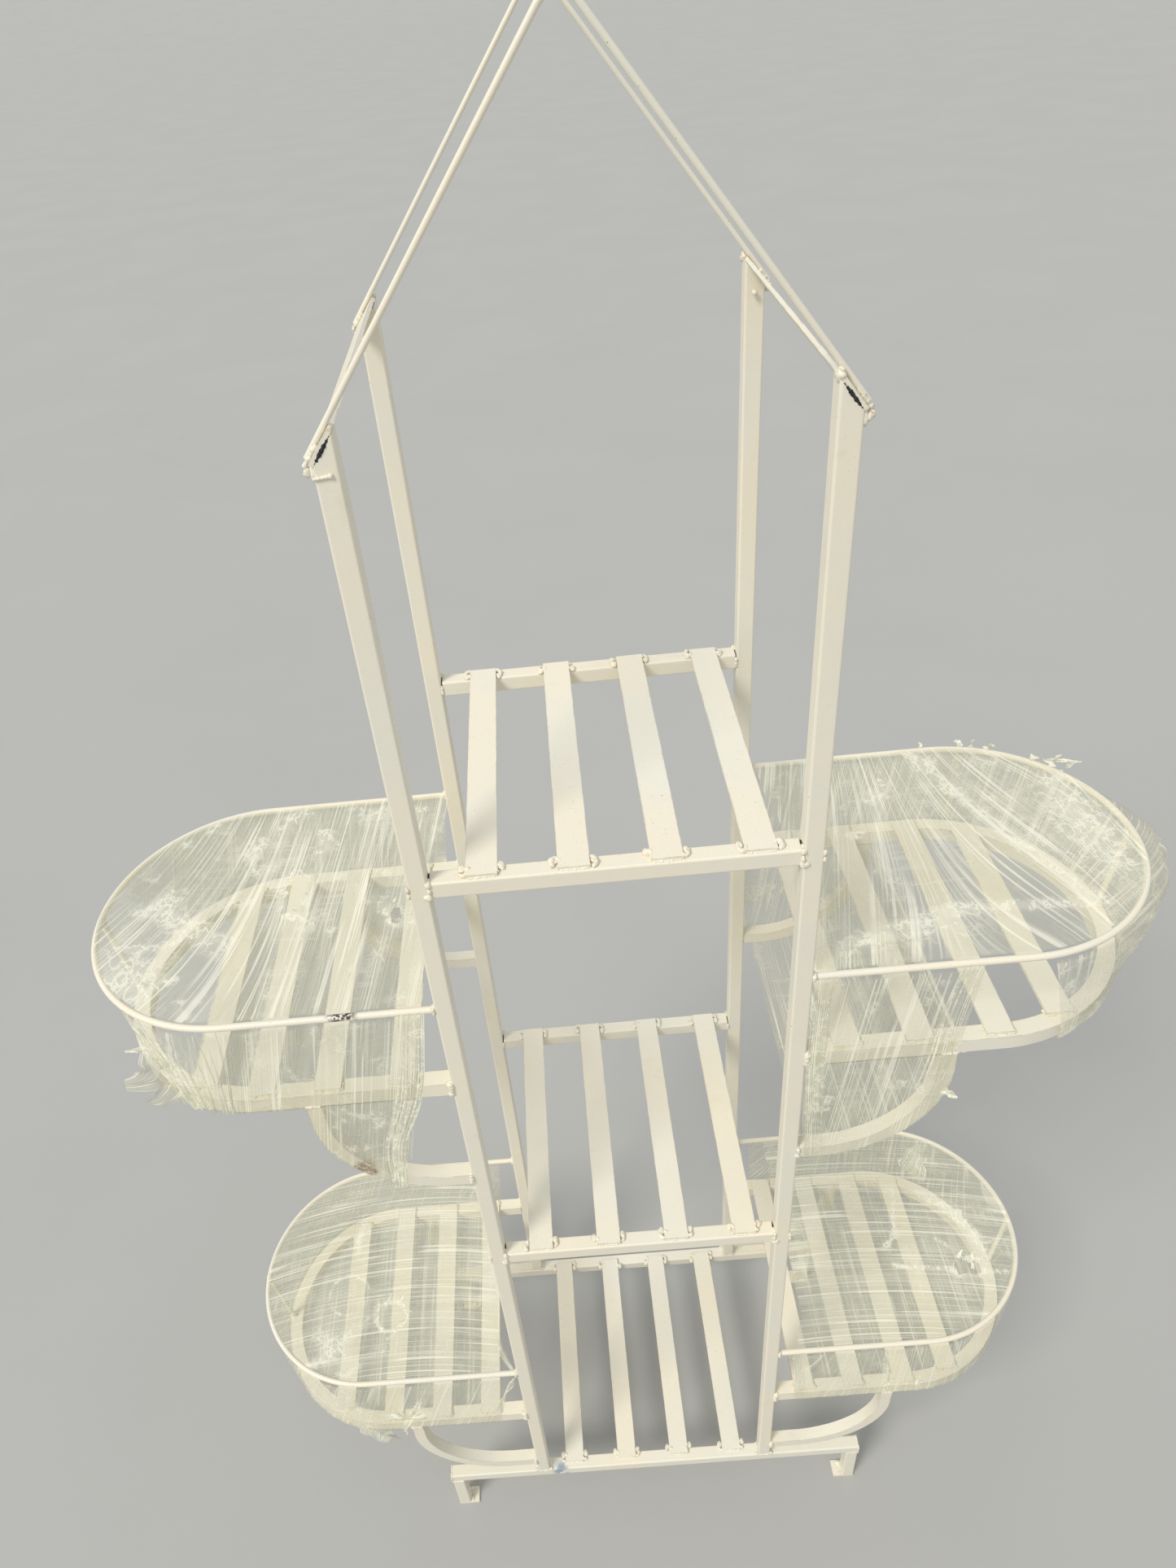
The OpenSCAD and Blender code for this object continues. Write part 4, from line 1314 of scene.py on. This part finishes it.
def tails_upper_right(loose):
    """Wisps on the round end, and strands at both edges of the front skin."""
    pick = random.Random(281)
    wisps = ((91, 7), (76, 10), (72, 9), (67, 13), (66, 9), (44, 13), (41, 16), (37, 14))
    for i, (turn, length) in enumerate(wisps):
        turn = math.radians(turn)
        start = (*round_end(ROUND_X, ROUND_OUT, turn), OVER_RIM["upper"])
        heading = (math.cos(turn) + pick.uniform(-0.6, 0.9), math.sin(turn) * 0.6, 0.5)
        loose.add(curl(start, heading, length, 0.9, 283 + i), (6, 5, 1), 291 + i, facing=(0, 0.3, 1),
                  twist=90, cloud=0.9)
    loose.add([(442, 112, 1070), (456, 105, 1072), (470, 98, 1073), (485, 93, 1075)], (12, 7, 1.5), 301,
              facing=(0, 0, 1), twist=120, pleat=0.4, lanes=6, cloud=0.8)
    for i in range(9):
        x0, x1 = 303 - i * 2.4 + pick.uniform(-1, 1), 292 - i * 3.0 + pick.uniform(-2, 2)
        loose.front([(x0, 0.6, 1068), ((x0 + x1) / 2 - 3, 1.8, 1005), (x1, 1.8, 950),
                     (x1 - 4, 1.6, 915)], (0.8, pick.uniform(0.8, 2.2), 0.7), 311 + i, cloud=0.6)
    for i in range(9):
        x = 162 + i * 1.9
        loose.front([(x, 0.6, 1068), (x - 1, 1.8, 960), (x + 2, 1.6, 880), (x + 5, 1.4, 811)],
                    (0.7, pick.uniform(0.8, 2.0), 0.7), 331 + i, cloud=0.5)
    loose.add(curl((288, -150, 898), (0.9, -0.6, -0.2), 16, 0.7, 341), (10, 8, 3), 343, lanes=6, cloud=0.8)


def wrap_lower_left(wrap):
    def inner(y):
        return 183 + 14 * step(-60, 20, y) + 1.0 * soft_noise(y / 12, 0 * y, 405)

    def flow(x, y, z):
        out = x - LOWER_MIDDLE
        return x, y + 0.05 * out + 0.8 * out ** 2

    def ring(p, x, y, radius, width):
        away = np.hypot(p[..., 0] / MM - x, p[..., 1] / MM - y) - radius
        return np.exp(-(away / width) ** 2)

    def cloud(p, u, v):
        broken = step(-0.7, 0.4, soft_noise(p[..., 0] * 45, p[..., 1] * 45, 411))
        rings = 0.9 * ring(p, 322, -66, 19, 3.5) * broken + 0.6 * ring(p, 380, -34, 26, 2.5)
        bundle = line(p, (425, -128), (322, -42), 10) + line(p, (380, -140), (318, -96), 9) * 0.8
        spots = spot(p, 398, -98, 30, 16, 40) + spot(p, 372, 44, 7, 34, 8)
        white = rings + 0.55 * bundle + 0.8 * spots + 0.25 * puff(p, 413, 70)
        return np.clip(white, 0, 1) - over_rod(v)

    def down(x, y, z):
        return z - 0.3 * x, x + 0.35 * z + 0.3 * y

    def wall_cloud(p, u, v):
        knot = line(p, (289, 334), (318, 262), 7, (0, 2)) + line(p, (330, 300), (283, 300), 9, (0, 2))
        end = 0.42 * step(330, 380, p[..., 0] / MM)
        white = knot * (p[..., 1] < 0) + end + 0.3 * puff(p, 421, 60) + 0.12 * step(0.8, 1, v)
        return np.clip(white, 0, 1) - under_rod(v)

    wrap.top(inner, 1.5, flow, cloud, top_relief(flow, cloud, 415, 130, 1.2, 0.9))
    first, last = (at_x(181), at_x(193)), (1 - at_x(181), 1 - at_x(193))
    lower_skins(wrap, first, last, down, wall_cloud, 193, 0.9, 423)
    tails_lower_left(wrap.loose)


def tails_lower_left(loose):
    """Strands beside the upright, the knot on the front, the tail below and the ring's curls."""
    pick = random.Random(431)
    for i in range(9):
        z = 386 - i * 3.4
        loose.front([(163 + i * 0.5, 0.4, z), (175 + i, 1, z - 25), (188 + i * 1.5, 1.4, 296 - i)],
                    (0.8, pick.uniform(0.8, 1.8), 0.7), 433 + i, cloud=0.5)
    loose.add([(184, -100, 389.6), (178, -122, 389.6), (168, -140, 389), (162, -146, 388)], (1, 9, 2), 445,
              facing=(0, 0, 1), lanes=6, cloud=0.4)
    loose.add([(289, -150.8, 336), (300, -153, 312), (312, -153, 288), (321, -151, 262), (326, -148, 246)],
              (6, 10, 16), 447, twist=60, pleat=0.5, lanes=8, cloud=0.75)
    loose.front([(330, 1.5, 306), (308, 3.5, 300), (286, 1.5, 296)], (12, 5, 9), 449, pleat=0.5,
                lanes=6, cloud=0.75)
    loose.add([(356, -147, 257), (358, -148, 246), (359, -149, 236), (359, -149, 225)], (72, 46, 4), 451,
              facing=(0, -1, 0.1), twist=8, pleat=0.05, lanes=10, cloud=-0.15)
    loose.add([(352, -146, 262), (362, -144, 250), (376, -140, 246)], (34, 22, 5), 453,
              facing=(0, -1, 0.3), pleat=0.2, lanes=7, cloud=-0.22)
    for i in range(8):
        turn = math.radians(20 + 40 * i)
        start = (322 + 19 * math.cos(turn), -66 + 19 * math.sin(turn), OVER_RIM["lower"])
        loose.add(curl(start, (-math.sin(turn), math.cos(turn), 0.12), 16, 0.5, 455 + i), (4, 3, 1), 465 + i,
                  facing=(0, 0, 1), cloud=1)


def wrap_lower_right(wrap):
    def inner(y):
        return 186 + 12 * step(-140, -95, y) + 1.0 * soft_noise(y / 12, 0 * y, 505)

    def flow(x, y, z):
        out = x - LOWER_MIDDLE
        return x, y + 0.09 * out + 0.5 * out ** 2

    def torn(p):
        return slot_hole(p, 420, -62, 18, 8, -12, 521)

    def cloud(p, u, v):
        hole = np.exp(-np.maximum(torn(p), 0) / (5 * MM))
        hug = line(p, (392, 44), (428, 10), 10) + line(p, (428, 10), (442, -20), 8)
        hug = hug + line(p, (442, -20), (448, -48), 6) + spot(p, 429, -51, 9, 6)
        knots = spot(p, 324, -27, 8, 8) + line(p, (358, 59), (340, -11), 4)
        knots = knots + line(p, (340, -11), (324, -27), 4)
        sails = line(p, (270, 62), (300, 62), 4) + spot(p, 225, -20, 9, 60, 6) * 0.8
        flat = line(p, (328, -52), (463, -71), 4) * 0.8 + line(p, (429, -51), (390, -20), 3) * 0.6
        white = 0.9 * hole + 0.8 * hug + 0.6 * knots + 0.5 * sails + flat + 0.2 * puff(p, 511, 70)
        thin = 0.9 * spot(p, 409, -44, 15, 9, 40)
        return np.clip(white, 0, 1) - thin - over_rod(v)

    def down(x, y, z):
        lean = 0.75 * (1 - step(200, 330, x / MM))
        return z + 0.3 * x, x - lean * z + 0.3 * y

    def wall_cloud(p, u, v):
        face_on = p[..., [0, 2, 1]]
        knots = spot(face_on, 300, 296, 7, 9) + spot(face_on, 337, 300, 6, 6)
        knots = (knots + line(p, (290, 381), (299, 262), 3, (0, 2))) * (p[..., 1] < 0)
        white = knots + 0.3 * puff(p, 523, 60) + 0.1 * step(0.8, 1, v) + 0.2 * step(400, 450, p[..., 0] / MM)
        return np.clip(white, 0, 1) - under_rod(v)

    wrap.top(inner, 1.5, flow, cloud, top_relief(flow, cloud, 515, 130, 1.1, 0.8), torn)
    first, last = (at_x(176), at_x(186)), (1 - at_x(178), 1 - at_x(186))
    lower_skins(wrap, first, last, down, wall_cloud, 187, 1.0, 525)
    tails_lower_right(wrap.loose)


def tails_lower_right(loose):
    """Strands beside the upright, the sail on top, the seam down the front and its knots, and the
    hole's curls."""
    pick = random.Random(531)
    for i in range(8):
        x = 178 + i * 1.6
        loose.front([(x, 0.6, 388), (x + 4, 1.4, 330), (x + 8 + pick.uniform(-1, 1), 1.6, 268)],
                    (0.7, pick.uniform(0.9, 2.0), 0.8), 533 + i, cloud=0.45)
    loose.add([(382, 77, 390), (396, 92, 390.6), (404, 104, 390.4), (412, 116, 389.8)], (44, 34, 6), 545,
              facing=(0, 0, 1), pleat=0.03, lanes=8, cloud=-0.28)
    loose.front([(290, 0.8, 384), (296, 2.4, 340), (300, 2.8, 300), (299, 1.4, 262)], (2, 4, 3), 547,
                pleat=0.5)
    for i, (x, z) in enumerate(((300, 298), (336, 300))):
        for k in range(3):
            path = curl((x, -152, z), (math.cos(2.2 * k), -0.3, math.sin(2.2 * k)), 9, 0.6, 551 + 3 * i + k)
            loose.add(path, (4, 3, 1), 561 + 3 * i + k, cloud=0.95)
    for i, (x, y) in enumerate(((400, -60), (428, -52), (410, -48), (424, -64))):
        heading = (pick.uniform(-1, 1), pick.uniform(-1, 1), 0.2)
        path = curl((x, y, OVER_RIM["lower"] + 0.1), heading, 12, 0.7, 571 + i)
        loose.add(path, (5, 3, 1), 581 + i, facing=(0, 0, 1), cloud=1)


def build_films():
    """The four wraps, each with its own haze and its own fineness of streaks along and across."""
    looks = {
        "upper_left": (wrap_upper_left, 0.32, 330, 60),
        "upper_right": (wrap_upper_right, 0.29, 300, 60),
        "lower_left": (wrap_lower_left, 0.31, 400, 90),
        "lower_right": (wrap_lower_right, 0.29, 400, 90),
    }
    strand = film_material("film_strands", 0.52, 700, 60)
    for place, (make, haze, fine, cross) in looks.items():
        wrap = Wrap(place, film_material("film_streaked_" + place, haze, fine, cross), strand)
        make(wrap)
        wrap.declare()


# ---------------------------------------------------------------- scene

def add_floor():
    """A wide flat floor whose far rim rises a little, so that it hides the horizon."""
    flat, rise, height, around = 40.0, 30.0, 5.0, 96
    rings = [(0.5, 0.0), (flat, 0.0)]
    rings += [(flat + rise * i / 12, height * (i / 12) ** 2) for i in range(1, 13)]
    points = [(r * math.cos(2 * math.pi * k / around), r * math.sin(2 * math.pi * k / around), z)
              for r, z in rings for k in range(around)]
    faces = [[i * around + k, (i + 1) * around + k, (i + 1) * around + (k + 1) % around,
              i * around + (k + 1) % around] for i in range(len(rings) - 1) for k in range(around)]
    faces.append(list(range(around)))
    mesh = bpy.data.meshes.new("studio_floor")
    mesh.from_pydata(points, [], faces)
    mesh.materials.append(floor_material())
    floor = bpy.data.objects.new("studio_floor", mesh)
    bpy.context.scene.collection.objects.link(floor)


def add_lamp(name, place, width, strength, colour):
    """A broad far lamp that shines from a place towards the middle of the object."""
    data = bpy.data.lights.new(name, "SUN")
    data.angle = math.radians(width)
    data.energy = strength
    data.color = colour
    lamp = bpy.data.objects.new(name, data)
    lamp.location = place
    lamp.rotation_mode = "QUATERNION"
    lamp.rotation_quaternion = (Vector((0, 0, 0.9)) - Vector(place)).to_track_quat("-Z", "Y")
    bpy.context.scene.collection.objects.link(lamp)


def add_light():
    world = bpy.data.worlds.new("studio")
    world.use_nodes = True
    sky = world.node_tree.nodes["Background"]
    sky.inputs["Color"].default_value = (0.95, 0.97, 1.0, 1)
    sky.inputs["Strength"].default_value = 0.68
    bpy.context.scene.world = world
    add_lamp("key", (-2.2, -2.1, 4.2), 20, 2.1, (1.0, 0.97, 0.91))


def add_camera():
    data = bpy.data.cameras.new("camera")
    data.sensor_width = CAMERA_SENSOR
    data.lens = CAMERA_LENS
    data.shift_x, data.shift_y = CAMERA_SHIFT
    data.clip_start = 0.05
    camera = bpy.data.objects.new("camera", data)
    turn = (Matrix.Rotation(math.radians(CAMERA_YAW), 4, "Z")
            @ Matrix.Rotation(math.radians(CAMERA_TILT), 4, "X")
            @ Matrix.Rotation(math.radians(CAMERA_ROLL), 4, "Z"))
    camera.matrix_world = Matrix.Translation(CAMERA_AT) @ turn
    bpy.context.scene.collection.objects.link(camera)
    bpy.context.scene.camera = camera


paint_frame(paint_material("cream_paint"))
make_welds(paint_material("cream_paint_welds", 0.9))
make_gaps()
build_films()
add_floor()
add_light()
add_camera()
bpy.context.scene.view_settings.view_transform = "Standard"
